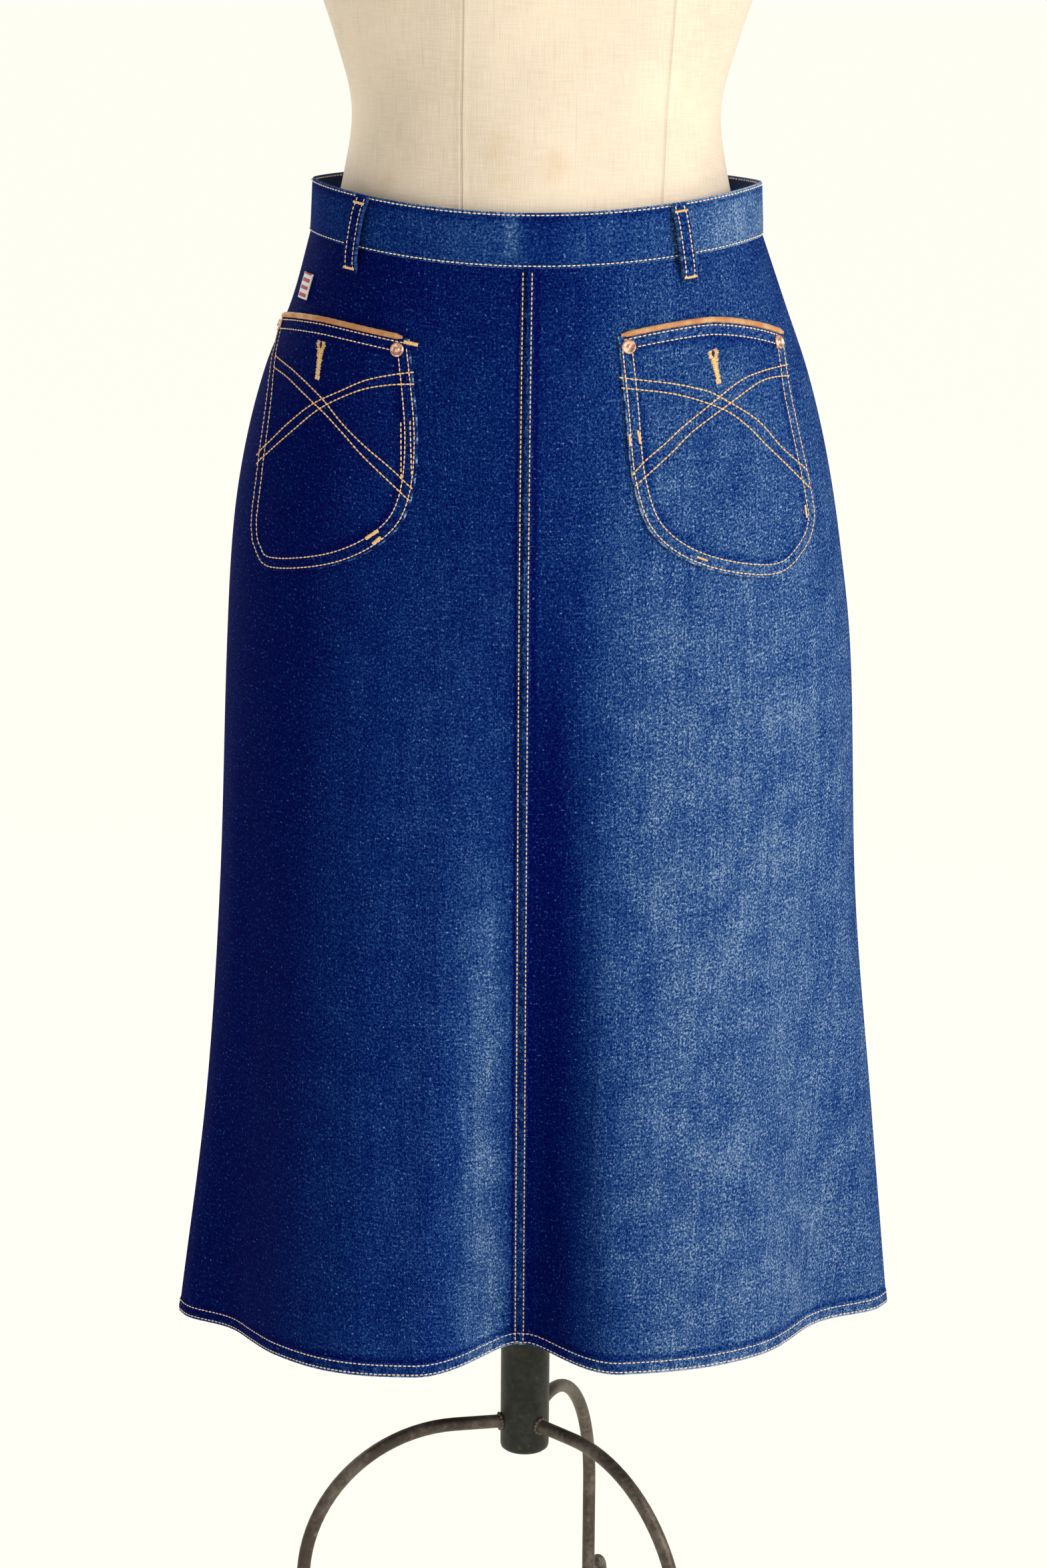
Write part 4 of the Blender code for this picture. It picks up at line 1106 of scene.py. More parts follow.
def build_panel(panel, materials):
    """One panel: its weave, seam laps, turned hem and worn edges, and its cut."""
    above_hem_rows = np.linspace(0.0, 1.0 - HEM_SHARE, PANEL_ROWS)
    drops = np.concatenate([above_hem_rows, 1.0 - HEM_STEPS[::-1] / SKIRT_LENGTH])[:, None]
    start = CHART.flat(np.full_like(drops, panel.start), drops)[0]
    end = CHART.flat(np.full_like(drops, panel.end), drops)[0]
    first = start - (LAP_REACH if panel.lap == "start" else -0.00004)
    last = end + (LAP_REACH if panel.lap == "end" else -0.00004)
    head = np.append(FINE, [0.0104])
    t = np.linspace(0.0, 1.0, PANEL_COLUMNS)[None, 1:-1]
    low_edge, high_edge = first + head[None, :], last - head[None, ::-1]
    middle = low_edge[:, -1:] + (high_edge[:, :1] - low_edge[:, -1:]) * t
    across = np.hstack([low_edge, middle, high_edge])
    drops = np.broadcast_to(drops, across.shape)
    turn = CHART.turn_for(across, drops, 0.5 * (panel.start + panel.end))
    outer, normals = on_panel(turn, drops, np.zeros_like(turn))
    down = CHART.flat(turn, drops)[1]
    above_hem = CHART.flat(turn, np.ones_like(turn))[1] - down
    depth = DENIM + 0.0010 * (1.0 - smooth(above_hem, 0.008, 0.010))
    if panel.lap:
        away = across - start if panel.lap == "start" else end - across
        depth = np.where(away < 0.0001, 0.00105 * smooth(away, -0.0044, -0.0036), depth)
    inner = outer - normals * np.maximum(depth, 0.0004)[..., None]
    wear = body_wear_and_light(turn, drops)
    wear = wear + 0.55 * bell(above_hem, 0.0011) + 0.12 * (above_hem < 0.009) * rope(across)
    wear = wear - 0.25 * bell(above_hem, 0.0012, 0.0108)
    if panel.lap:
        wear = wear + 0.35 * bell(away + LAP_REACH, 0.0006)
        wear = wear + 0.20 * bell(away, 0.003) * (0.8 + 0.9 * rope(down))
        # Painted shade: a dark line just past the fell's edge.
        wear = wear - 0.30 * bell(away, 0.0016, 0.0066)
    else:
        away = end - across if panel.start == -90.0 else across - start
        # Painted shadow: a dark line where the lapping panel's edge steps down onto this one.
        wear = wear - 0.35 * bell(away - LAP_REACH, 0.0010, 0.0008)
    made = shell(panel.name + "_cloth", outer, inner, materials["denim"], cloth_layers(across, down, wear))
    stand_for(made, panel.name)
    width = float(np.max(last - first))
    area = float(np.mean(last - first) * np.mean(down[-1]))


def build_band(materials):
    """The waistband all round, with the end that laps at the back."""
    lapped = np.linspace(163.5, 180.0 + BAND_LAP_TURN, 56)
    turn = np.concatenate([np.linspace(-179.95, 163.0, 250), lapped])[None, :]
    rise = np.array([-BAND_TUCK, -0.025, -0.008, 0.012, 0.03, 0.06, 0.10, 0.20, 0.34, 0.50, 0.66, 0.80,
                     0.89, 0.93, 0.955, 0.975, 0.992, 1.0])[:, None]
    turn, rise = np.broadcast_arrays(turn, rise)
    height = rise * BAND_HEIGHT
    low_edge, top_edge = height + BAND_TUCK * BAND_HEIGHT, BAND_HEIGHT - height
    across = np.radians(turn) * BAND_RADIUS
    lift = dips(low_edge, (0.0016,), 0.00028) + dips(top_edge, (0.0016,), 0.00028)
    lift = lift + 0.00016 * rope(across) * (bell(top_edge, 0.004) + bell(low_edge, 0.004))
    lift = lift - 0.0005 * (1.0 - smooth(low_edge, 0.0, 0.0007))
    lift = lift - 0.0006 * (1.0 - smooth(top_edge, 0.0, 0.0009))
    wave = np.sin(across / 0.013 + 2.0 * np.sin(across / 0.05))
    lift = lift + 0.0003 * wave * smooth(low_edge, 0.0, 0.01)
    outer, _ = on_band(turn, rise, lift)
    wall = -BAND_WALL + 0.0007 * (1.0 - smooth(top_edge, 0.0, 0.0009))
    inner, _ = on_band(turn, rise, wall + 0 * lift)
    streak = bell(apart(turn, -4.0), 1.6) * smooth(rise, 0.05, 0.3)
    wear = fade_and_light_at(BAND_FADE_AND_LIGHT, turn) + 0.26 * streak - 0.14 * bell(apart(turn, 4.0), 4.0)
    wear = wear + 0.35 * bell(top_edge, 0.0008) + 0.20 * bell(low_edge, 0.0007)
    wear = wear - 0.22 * bell(top_edge, 0.0016, 0.0045) + 0.06 * rope(across) * (top_edge < 0.006)
    layers = cloth_layers(across, 0.034 - height, wear)
    made = shell("waistband_cloth", outer, inner, materials["band"], layers)
    stand_for(made, "waistband")


def loop_path(loop):
    """Centre points and outward directions down the back of a belt loop."""
    points = []
    for bend in LOOP_ON_BAND:
        turn = loop.turn + loop.lean * bend.place
        points.append(on_band(np.array([turn]), np.array([bend.place]),
                              np.array([LOOP_SEAT + LOOP_SLACK * bend.slack - 0.0004]))[0][0])
    length = CHART.length(loop.turn)
    for bend in LOOP_ON_SKIRT:
        lift = BAND_STAND + LOOP_SEAT + LOOP_SLACK * bend.slack - 0.0008
        drop = np.array([LOOP_TAIL / length * bend.place])
        points.append(on_cloth(np.array([loop.turn]), drop, lift)[0][0])
    return spread(curve(points, 8), 46)


class LoopCloth:
    """The face of one belt loop, u across from -1 to 1 and v down from 0 to 1."""

    def __init__(self, loop):
        self.path = loop_path(loop)
        ends = on_band(np.array([loop.turn - 1.0, loop.turn + 1.0]), np.array([0.5, 0.5]), np.zeros(2))[0]
        self.aside = unit(ends[1] - ends[0])
        self.width = LOOP_WIDTH
        self.wall = LOOP_WALL

    def relief(self, u, v):
        edge = (1.0 - np.abs(u)) * self.width / 2
        bulge = 0.0002 * bell(np.abs(u), 0.12, 0.88) - 0.00035 * (1.0 - smooth(edge, 0.0, 0.0006))
        rows = dips(np.abs(u) * self.width / 2, (0.0031,), 0.00022, 0.0007)
        ends = -0.0006 * (1.0 - smooth(np.minimum(v, 1.0 - v), 0.0, 0.015))
        return bulge + rows + ends + 0.00010 * rope(v * 0.05 + u * 0.004)

    def __call__(self, u, v, lift):
        place = np.clip(v, 0.0, 1.0) * (len(self.path) - 1)
        steps = np.arange(len(self.path))
        point = np.stack([np.interp(place, steps, self.path[:, k]) for k in range(3)], -1)
        run = np.gradient(self.path, axis=0)
        tangent = np.stack([np.interp(place, steps, run[:, k]) for k in range(3)], -1)
        normal = unit(np.cross(tangent, self.aside))
        up = self.wall + self.relief(u, v) + lift
        return point + self.aside * (u * self.width / 2)[..., None] + normal * up[..., None], normal


def build_loop(loop, materials):
    """One belt loop; its face is returned for its stitches."""
    surface = LoopCloth(loop)
    half = np.array([0.25, 0.5, 0.62, 0.72, 0.86, 0.94, 1.0])
    u, v = np.meshgrid(np.concatenate([-half[::-1], [0.0], half]), np.linspace(0.0, 1.0, 60))
    outer, normals = surface(u, v, np.zeros_like(u))
    inner = outer - normals * (surface.wall + surface.relief(u, v))[..., None]
    wear = fade_and_light_at(BAND_FADE_AND_LIGHT, loop.turn) - 0.20 + 0.30 * bell(1.0 - np.abs(u), 0.10)
    wear = wear + 0.10 * rope(v * 0.05)
    made = shell(f"loop_{loop.name}_cloth", outer, inner, materials["denim"],
                 cloth_layers(u * 0.005 + loop.turn * 0.002, v * 0.05, wear))
    stand_for(made, "loop_" + loop.name)
    return surface


def lap_width(share):
    """The lap's width at a share of its length; its last quarter curves in."""
    return LAP_WIDTH * (1.0 - 0.45 * np.clip(4.0 * share - 3.0, 0.0, None) ** 2)


def build_closure(materials):
    """The lap over the zip, the zip with its teeth, and the button at the back."""
    rows = np.linspace(0.0, 1.0, 90)[:, None]
    length = CHART.length(180.0)
    down = LAP_SPAN[0] + (LAP_SPAN[1] - LAP_SPAN[0]) * rows
    width = lap_width(rows)
    edge = FINE[:8] / LAP_WIDTH
    shares = np.concatenate([edge, np.linspace(0.13, 0.87, 18), 1.0 - edge[::-1]])
    away = LAP_OVER - width * shares[None, :]
    drops = np.broadcast_to(down / length, away.shape)
    turn = CHART.beside(180.0, away, drops)
    to_edge = np.minimum(shares, 1.0 - shares)[None, :] * width
    lift = 0.0022 - 0.0005 * (1.0 - smooth(to_edge, 0.0, 0.0008)) + dips(to_edge, (0.002, 0.030), 0.0002)
    lift = lift + 0.00014 * rope(down) * bell(to_edge, 0.004)
    outer, _ = on_cloth(turn, drops, lift)
    inner, _ = on_cloth(turn, drops, np.full_like(lift, 0.0007))
    wear = 0.30 + 0.5 * bell(to_edge, 0.0008) + 0.0 * drops
    made = shell("back_lap_cloth", outer, inner, materials["denim"],
                 cloth_layers(away + 0.4, np.broadcast_to(down, away.shape), wear))
    stand_for(made, "back_lap")

    down = (ZIP_SPAN[0] + (ZIP_SPAN[1] - ZIP_SPAN[0]) * rows)
    away = ZIP_WIDTH * (np.linspace(0.5, -0.5, 15)[None, :]) + 0.0 * down
    drops = np.broadcast_to(down / length, away.shape)
    turn = CHART.beside(180.0, away, drops)
    outer = face(turn, drops)[0] - face(turn, drops)[1] * 0.0030
    inner = face(turn, drops)[0] - face(turn, drops)[1] * 0.0037
    tape = shell("zip_tape", outer, inner, materials["tape"])
    stand_for(tape, "zip")
    spots = np.arange(ZIP_SPAN[0] + 0.004, ZIP_SPAN[1] - 0.004, 0.0021)
    sides = np.where(np.arange(len(spots)) % 2 == 0, 0.0012, -0.0012)
    turn, drop = CHART.place(180.0, sides, spots)
    points, normals = face(turn, drop)
    points = points - normals * 0.0036
    aside = unit(np.cross(normals, [0.0, 0.0, 1.0]))
    ends = points[:, None, :] + aside[:, None, :] * (np.linspace(-0.0016, 0.0016, 4)[None, :, None])
    tooth_points, tooth_faces = tubes(ends, np.repeat(normals[:, None, :], 4, axis=1), 0.0006, 6)
    teeth = make_piece("zip_teeth", tooth_points, tooth_faces, materials["copper"])
    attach(teeth, "root")

    seat = BAND_WALL + BAND_LAP_GAP + 0.0005
    foot, normal = on_band(np.array([BUTTON_TURN]), np.array([0.5]), np.array([0.0]))
    place = facing_place(foot[0] + normal[0] * (seat - 0.0024), normal[0])
    button = turned("waist_button_metal", BUTTON_PROFILE, place, 40, materials["copper"])
    stand_for(button, "waist_button")


def pocket_outline(pocket):
    """A pocket's closed flat outline, anticlockwise from its inner corner, as (sides, whole)."""
    marks = [list(m) for m in pocket.outline]
    below = TRIM_WIDTH * 0.6
    marks[0][1] += below
    marks[-1][1] += below
    sides = spread(curve(marks, 14), 150)
    top = mouth(pocket, np.linspace(1.0, 0.0, 46)[1:-1], below)
    return sides, np.vstack([sides, top])


def pocket_relief(pocket, flat, edge):
    """How far a pocket's folded edge, its stitch rows and its slack lift it."""
    centre_out = 0.5 * (pocket.outline[0].out + pocket.outline[-1].out)
    lift = 0.0004 * (1.0 - smooth(edge, 0.0085, 0.0125)) + dips(edge, POCKET_ROWS, 0.00026)
    lift = lift - 0.0005 * (1.0 - smooth(edge, 0.0, 0.0009))
    angle = np.arctan2(flat[..., 1] - POCKET_MIDDLE[1], flat[..., 0] - centre_out) * POCKET_ROUND
    lift = lift + 0.00022 * rope(angle + 1.2 * edge) * bell(edge, 0.0050, 0.0050)
    slack = np.exp(-(((flat[..., 0] - centre_out) / 0.05) ** 2) - ((flat[..., 1] - 0.09) / 0.05) ** 2)
    return lift + 0.0007 * slack + 0.0004 * np.sin(flat[..., 0] / 0.011 + flat[..., 1] / 0.024) * slack


class PocketCloth:
    """The face of one pocket, from its flat coordinates."""

    def __init__(self, pocket):
        self.pocket = pocket
        self.sides, self.whole = pocket_outline(pocket)

    def edge(self, flat):
        """Distance in from the outline."""
        gaps = flat.reshape(-1, 1, 2) - self.whole[None, :, :]
        return np.sqrt(np.min(np.sum(gaps**2, axis=-1), axis=1)).reshape(flat.shape[:-1])

    def lift(self, flat):
        return POCKET_LIFT + POCKET_WALL - 0.0007 + pocket_relief(self.pocket, flat, self.edge(flat))

    def __call__(self, u, v, lift):
        flat = np.stack([u, v], axis=-1)
        return on_pocket(self.pocket, flat, self.lift(flat) + lift)


def build_pocket(pocket, materials):
    """One pocket from its outline inwards; its face is returned for its stitches."""
    surface = PocketCloth(pocket)
    whole = spread(np.vstack([surface.whole, surface.whole[:1]]), 241)[:-1]
    rings = [inset(whole, d, True) for d in (0.0, 0.0004, 0.0009, 0.0015, 0.0021, 0.0028)]
    base = rings[-1]
    for d in (0.0012, 0.0024, 0.0034, 0.0044, 0.0052, 0.0060, 0.0070, 0.0084):
        rings.append(base + unit(base.mean(axis=0) - base) * d)
    base, middle = rings[-1], rings[-1].mean(axis=0)
    for share in np.linspace(0.94, 0.02, 17):
        rings.append(middle + (base - middle) * share)
    flat = np.array(rings)
    edge = surface.edge(flat)
    points, _ = on_pocket(pocket, flat, surface.lift(flat))
    skirt, _ = on_pocket(pocket, whole, np.full(len(whole), -0.0004))
    every = np.concatenate([skirt[None], points])
    rows, columns = every.shape[:2]
    faces = grid_faces(rows, columns, wrap=True, flip=pocket.side < 0)
    last = [(rows - 1) * columns + k for k in range(columns)]
    first = list(range(columns))
    faces.append(last if pocket.side > 0 else last[::-1])
    faces.append(first[::-1] if pocket.side > 0 else first)
    across = np.concatenate([whole[None], flat])
    depth = np.concatenate([edge[:1], edge])
    sideways = (pocket.across + across[..., 0]) * pocket.side
    turn, drop = CHART.place(pocket.seam, sideways, pocket.down + across[..., 1])
    wear = body_wear_and_light(turn, drop)
    from_middle = across - POCKET_MIDDLE
    around = np.arctan2(from_middle[..., 1], from_middle[..., 0]) * POCKET_ROUND
    inner_side = 1.0 - smooth(across[..., 0], 0.02, 0.09)
    wear = wear + (0.25 + 0.65 * inner_side) * bell(depth, 0.0008) * (0.75 + 0.35 * rope(around * 1.3))
    wear = wear - 0.20 * bell(depth, 0.0014, 0.0102)
    wear = wear + 0.12 * rope(around + depth) * bell(depth, 0.005, 0.005)
    cloth = np.stack([across[..., 0] * pocket.side + 1.3, across[..., 1] + 0.2, 0 * depth], -1)
    made = make_piece(f"pocket_{pocket.name}_cloth", every, faces, materials["denim"],
                      {"cloth": cloth.reshape(-1, 3), "wear": np.repeat(wear.reshape(-1, 1), 3, axis=1)})
    stand_for(made, "pocket_" + pocket.name)
    return surface


def build_binding(pocket, materials):
    """The half-round leather that binds a pocket's mouth."""
    first = pocket.binding / (pocket.outline[-1].out - pocket.outline[0].out)
    t = np.linspace(first, 1.0, 100)
    line = mouth(pocket, t, TRIM_WIDTH / 2)
    spin = np.linspace(0.0, math.tau, 16, endpoint=False)
    bump = 1.0 + 0.05 * rope(line[:, 0] * 1.1)
    ends = np.clip(np.minimum(np.arange(100), np.arange(100)[::-1]) / 3.0, 0.35, 1.0) ** 0.5
    half_wide = 0.00185 * bump * ends
    wall = 0.00125 * bump * ends
    flat = np.repeat(line[:, None, :], 16, axis=1)
    flat[..., 1] += np.sin(spin)[None, :] * half_wide[:, None]
    lift = POCKET_LIFT + 0.0010 + np.cos(spin)[None, :] * wall[:, None]
    points, _ = on_pocket(pocket, flat, lift)
    faces = grid_faces(100, 16, wrap=True, flip=pocket.side > 0)
    faces.append(list(range(16)))
    faces.append([99 * 16 + k for k in range(15, -1, -1)])
    made = make_piece(f"trim_{pocket.name}_leather", points, faces, materials["leather"])
    stand_for(made, "trim_" + pocket.name)


def build_rivets(pocket, materials):
    """The two rivets in a pocket's top corners."""
    for end, mark in zip(("inner", "outer"), pocket.rivets):
        point, normal = on_pocket(pocket, np.array([mark], float), np.array([POCKET_LIFT + POCKET_WALL]))
        name = f"rivet_{pocket.name}_{end}"
        place = facing_place(point[0], normal[0])
        made = turned(name + "_metal", RIVET_PROFILE, place, 32, materials["copper"])
        stand_for(made, name)


def sew_pocket(thread, surface, pocket):
    """Edge rows, mouth rows, the crossing curves, bartacks and the buttonhole of one pocket."""
    for row in POCKET_ROWS:
        line = inset(surface.sides, row, False)
        start = np.argmax(line[:, 1] > line[0, 1] + 0.0035)
        stop = len(line) - np.argmax(line[::-1, 1] > line[-1, 1] + 0.0035)
        thread.sew(surface, line[start:stop], pale=0.35, gap=0.09)
    span = np.linspace(0.025, 0.975, 60)
    for row in MOUTH_ROWS:
        thread.sew(surface, mouth(pocket, span, row), pale=0.6)
    for marks in pocket.decor:
        thread.sew(surface, curve(marks, 12), pale=0.05, radius=0.00052, gap=0.07)
    for tack in pocket.tacks:
        start, end = (tack.out, tack.down), (tack.end_out, tack.end_down)
        if tack.end_down - tack.down > 0.02:
            thread.sew(surface, np.array([start, end]), pitch=0.0034, radius=0.00050, pale=0.15)
        else:
            thread.tack(surface, start, end, tack.width, pale=0.15)
    top, foot = (np.array(m, float) for m in pocket.hole)
    run = unit(foot - top)
    aside = np.array([run[1], -run[0]])
    length = float(np.linalg.norm(foot - top))
    for sign in (-1.0, 1.0):
        along = np.arange(0.0, length, 0.00078)
        along = along + thread.chance.normal(0.0, 0.00008, len(along))
        gap = EYE_HALF * bell(along, EYE_LENGTH, EYE_DOWN) + 0.00012
        reach = 0.0027 - 0.0010 * smooth(along, 0.2 * length, 0.8 * length)
        reach = reach * thread.chance.normal(1.0, 0.12, len(along))
        shares = np.linspace(0.0, 1.0, 5)
        out = gap[:, None] + reach[:, None] * shares[None, :]
        flat = top + run * along[:, None, None] + aside * (sign * out)[..., None]
        lift = 0.00008 + 0.00038 * np.sin(np.pi * (0.08 + 0.84 * shares))[None, :] + 0.0 * out
        points, normals = surface(flat[..., 0].ravel(), flat[..., 1].ravel(), lift.ravel())
        shape = (len(along), 5, 3)
        thread.add(points.reshape(shape), normals.reshape(shape), 0.00034, 0.1)
        ring_at = np.linspace(0.0, length, 40)
        gap = EYE_HALF * bell(ring_at, EYE_LENGTH, EYE_DOWN) + 0.00025
        cord = top + run * ring_at[:, None] + aside * (sign * gap)[:, None]
        points, normals = surface(cord[:, 0], cord[:, 1], np.full(40, 0.00030))
        thread.add(points[None], normals[None], 0.00040, 0.1)
    thread.tack(surface, foot - aside * 0.0016, foot + aside * 0.0016, 0.0026, pale=0.15, spacing=0.0004)
    # Painted shade: a thick near-black tube fills the buttonhole's eye, where it lies in shadow.
    eye = top + run * np.linspace(0.0008, 0.0040, 5)[:, None]
    points, normals = surface(eye[:, 0], eye[:, 1], np.full(5, 0.00012))
    thread.add(points[None], normals[None], 0.0009, 0.0, dark=1.0)


def build_skirt_stitching(materials):
    """The hem's rows and the rows on the centre seams, in two halves."""
    for half, start, end, seam in (("front", -89.6, 89.6, 0.0), ("back", 90.4, 269.6, 180.0)):
        thread = Thread(11 if half == "front" else 12)
        length = CHART.down[:, -1]
        for row in HEM_ROWS:
            turn = np.linspace(start, end, 400)
            turn = apart(turn, 0.0) if half == "front" else turn
            for piece in (turn[turn <= 180.0], apart(turn[turn > 180.0], 0.0)):
                if len(piece):
                    drop = 1.0 - row / np.interp(piece, CHART.turns, length)
                    thread.sew(on_panel, np.stack([piece, drop], -1), pale=0.8)
        for row in (-SEAM_ROW, SEAM_ROW):
            drop = np.linspace(0.004 if half == "front" else 0.245, 0.996, 300)
            turn = CHART.beside(seam, row, drop)
            thread.sew(on_panel, np.stack([turn, drop], -1), pale=0.25)
        thread.finish("stitching_" + half, materials["thread"])


def build_band_stitching(materials, loops):
    """The rows on the band, inside it too, and on the loops and the lap, and a loose end."""
    thread = Thread(13)
    rows = ((-179.0, 163.0), (163.0, 189.5))
    for start, end in rows:
        turn = np.linspace(start, end, 500)
        for rise in (-BAND_TUCK + 0.047, 0.953):
            thread.sew(on_band, level(turn, rise), pale=0.85)
    rise = np.linspace(0.05, 0.95, 60)
    thread.sew(on_band, np.stack([np.full_like(rise, 189.2), rise], -1), pale=0.85)

    def inside(turn, rise, lift):
        points, normals = on_band(turn, rise, -BAND_WALL - lift)
        return points, -normals

    turn = np.linspace(-179.0, 163.0, 500)
    for rise in (-BAND_TUCK + 0.047, 0.953):
        thread.sew(inside, level(turn, rise), pale=0.85)
    for surface in loops:
        down = np.linspace(0.03, 0.97, 60)
        for u in (-0.60, 0.60):
            thread.sew(surface, np.stack([np.full_like(down, u), down], -1), pale=0.6)
        for v in (0.12, 0.945):
            thread.tack(surface, (-0.86, v), (0.86, v), 0.0017, pale=0.2)

    def around(turn, down, lift):
        return on_cloth(turn, down, np.asarray(lift) + 0.0023)

    lap = []
    length = CHART.length(180.0)
    for t in np.linspace(0.02, 1.0, 80):
        down = LAP_SPAN[0] + (LAP_SPAN[1] - LAP_SPAN[0]) * min(t, 0.985)
        lap.append((LAP_OVER - float(lap_width(t)) + 0.0022, down))
    lap.append((LAP_OVER - 0.002, lap[-1][1]))
    flat = np.array(lap)
    drop = flat[:, 1] / length
    turn = CHART.beside(180.0, flat[:, 0], drop)
    thread.sew(around, np.stack([turn, drop], -1), pale=0.4)
    top, normal = loops[1](np.array([0.1]), np.array([0.02]), np.array([0.0003]))
    tail = [top[0] + np.array(step) for step in (
        (0, 0, 0), (-0.002, -0.001, 0.003), (-0.006, -0.002, 0.005), (-0.009, -0.001, 0.003))]
    thread.strand(tail, normal[0])
    thread.finish("stitching_band", materials["thread"])


def build_label(materials):
    """A plain striped woven tab."""
    down, across = np.meshgrid(np.linspace(0.0, 1.0, 24), np.linspace(0.0, 1.0, 18), indexing="ij")
    length = CHART.length(TAB_TURN)
    drops = (TAB_DOWN + TAB_HEIGHT * down) / length
    turn = CHART.beside(TAB_TURN, TAB_REACH * across, drops)
    bow = 0.0004 * np.sin(np.pi * across) + 0.0003 * np.sin(np.pi * down)
    outer, _ = on_cloth(turn, drops, 0.0014 + bow)
    inner, _ = on_cloth(turn, drops, 0.0007 + bow)
    made = shell("label_tab_woven", outer, inner, materials["label"],
                 cloth_layers(TAB_REACH * across, TAB_HEIGHT * down, 0 * down))
    stand_for(made, "label_tab")


def build_form(materials):
    """The dress form's linen cover, with layers for its weave and its seam lines."""
    body, neck = np.linspace(FORM[0].height, 1.470, 130), np.linspace(1.474, 1.5585, 24)
    heights = np.concatenate([body, neck, [1.5597, FORM[-1].height]])
    spin = np.linspace(0.0, math.tau, 160, endpoint=False)
    spin, height = np.meshgrid(spin, heights)
    half = read_column(FORM, "half_width", height)
    deep = np.where(np.cos(spin) > 0, read_column(FORM, "front", height), read_column(FORM, "back", height))
    shrink = np.where(heights >= 1.5597, 0.0008, 0.0)[:, None]
    x = np.clip((half - shrink) * np.sin(spin), -ARM_PLANE, ARM_PLANE)
    y = -(deep - shrink) * np.cos(spin)
    points = np.stack([x, y, height], -1) + AXIS
    left = np.interp(height, [s.height for s in FORM_SEAMS], [s.left for s in FORM_SEAMS])
    right = np.interp(height, [s.height for s in FORM_SEAMS], [s.right for s in FORM_SEAMS])
    girth = np.cumsum(np.linalg.norm(np.diff(points, axis=1, append=points[:, :1]), axis=-1), axis=1)
    girth = np.where(spin > math.pi, girth - girth[:, -1:], girth)
    layers = {
        "cloth": np.stack([girth, height, 0 * height], -1).reshape(-1, 3),
        "seams": np.stack([x - left, x - right, height], -1).reshape(-1, 3),
    }
    faces = capped_faces(*height.shape)
    made = make_piece("dress_form_linen", points, faces, materials["linen"], layers, 60.0)
    stand_for(made, "dress_form")


def leg_line():
    """A leg's centre line as (out, height): level run, quarter arch, drop and curled foot."""
    path = [(POST_RADIUS - 0.001, LEG_HEIGHT), (LEG_RUN, LEG_HEIGHT)]
    for angle in np.linspace(0.0, math.pi / 2, 24)[1:]:
        out, fall = ARCH_RADIUS * math.sin(angle), ARCH_RADIUS * (1.0 - math.cos(angle))
        path.append((LEG_RUN + out, LEG_HEIGHT - fall))
    step = math.radians(FOOT_STEP)
    half_bar = BAR_RADIUS * math.cos(math.pi / 8)
    half_curl = FOOT_RADIUS[0] * math.cos(0.5 * step)
    centre = (LEG_RUN + ARCH_RADIUS + FOOT_RADIUS[0], half_bar + half_curl)
    for k in np.linspace(0.0, FOOT_POINTS - 1.0, 45):
        angle = math.pi + step * (k + 0.5)
        shrink = max(0.0, (k + 1 - FOOT_ROUND) / (FOOT_POINTS - FOOT_ROUND))
        radius = FOOT_RADIUS[0] + (FOOT_RADIUS[1] - FOOT_RADIUS[0]) * shrink
        path.append((centre[0] + radius * math.cos(angle), centre[1] + radius * math.sin(angle)))
    return np.array(path)


def build_stand(materials):
    """The post, and three legs with the welds that join them to it."""
    top = FORM[0].height - 0.0003
    r = POST_RADIUS
    profile = [(0.004, POST_BOTTOM), (0.010, POST_BOTTOM + 0.0003), (0.0145, POST_BOTTOM + 0.0014),
               (r - 0.0006, POST_BOTTOM + 0.0030), (r, POST_BOTTOM + 0.0052)]
    profile += [(r, z) for z in np.linspace(POST_BOTTOM + 0.01, top - 0.002, 60)]
    profile += [(r - 0.0008, top)]
    post = turned("stand_post_tube", profile, Matrix.Translation(Vector(AXIS)), 64, materials["post"])
    stand_for(post, "stand_post")
    line = leg_line()
    run = unit(np.gradient(line, axis=0))
    spin = np.linspace(0.0, math.tau, 18, endpoint=False)
    size = np.full(len(line), BAR_RADIUS)
    size[-3:] *= (0.97, 0.85, 0.55)
    for name, turn in LEG_TURNS.items():
        radial = np.array([math.cos(math.radians(turn)), math.sin(math.radians(turn)), 0.0])
        sideways = np.array([-radial[1], radial[0], 0.0])
        centre = AXIS + radial * line[:, :1] + UP * line[:, 1:]
        across = -radial * run[:, 1:] + UP * run[:, :1]
        rings = centre[:, None, :] + size[:, None, None] * (
            across[:, None, :] * np.cos(spin)[None, :, None] + sideways * np.sin(spin)[None, :, None])
        rings[..., 2] = np.maximum(rings[..., 2], 0.0)
        leg = make_piece(name + "_bar", rings, capped_faces(*rings.shape[:2]), materials["leg"], angle=60.0)
        stand_for(leg, name)
        chance = np.random.default_rng(int(turn) + 400)
        around = np.linspace(0.0, math.tau, WELD_BEADS, endpoint=False)
        cosine, sine = np.cos(around)[:, None], np.sin(around)[:, None]
        foot = AXIS + radial * (POST_RADIUS + 0.0006) + UP * LEG_HEIGHT
        spots = foot + WELD_RADIUS * (sideways * cosine + UP * sine) - radial * (0.0011 * cosine**2)
        along = (UP * cosine - sideways * sine)[:, None, :] * np.linspace(-0.0016, 0.0016, 5)[None, :, None]
        beads = spots[:, None, :] + chance.normal(0, 0.0002, (WELD_BEADS, 1, 3)) + along
        bead_points, bead_faces = tubes(beads, np.broadcast_to(radial, beads.shape), 0.0018, 8)
        weld = make_piece(name + "_weld", bead_points, bead_faces, materials["leg"], angle=80.0)
        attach(weld, "root")


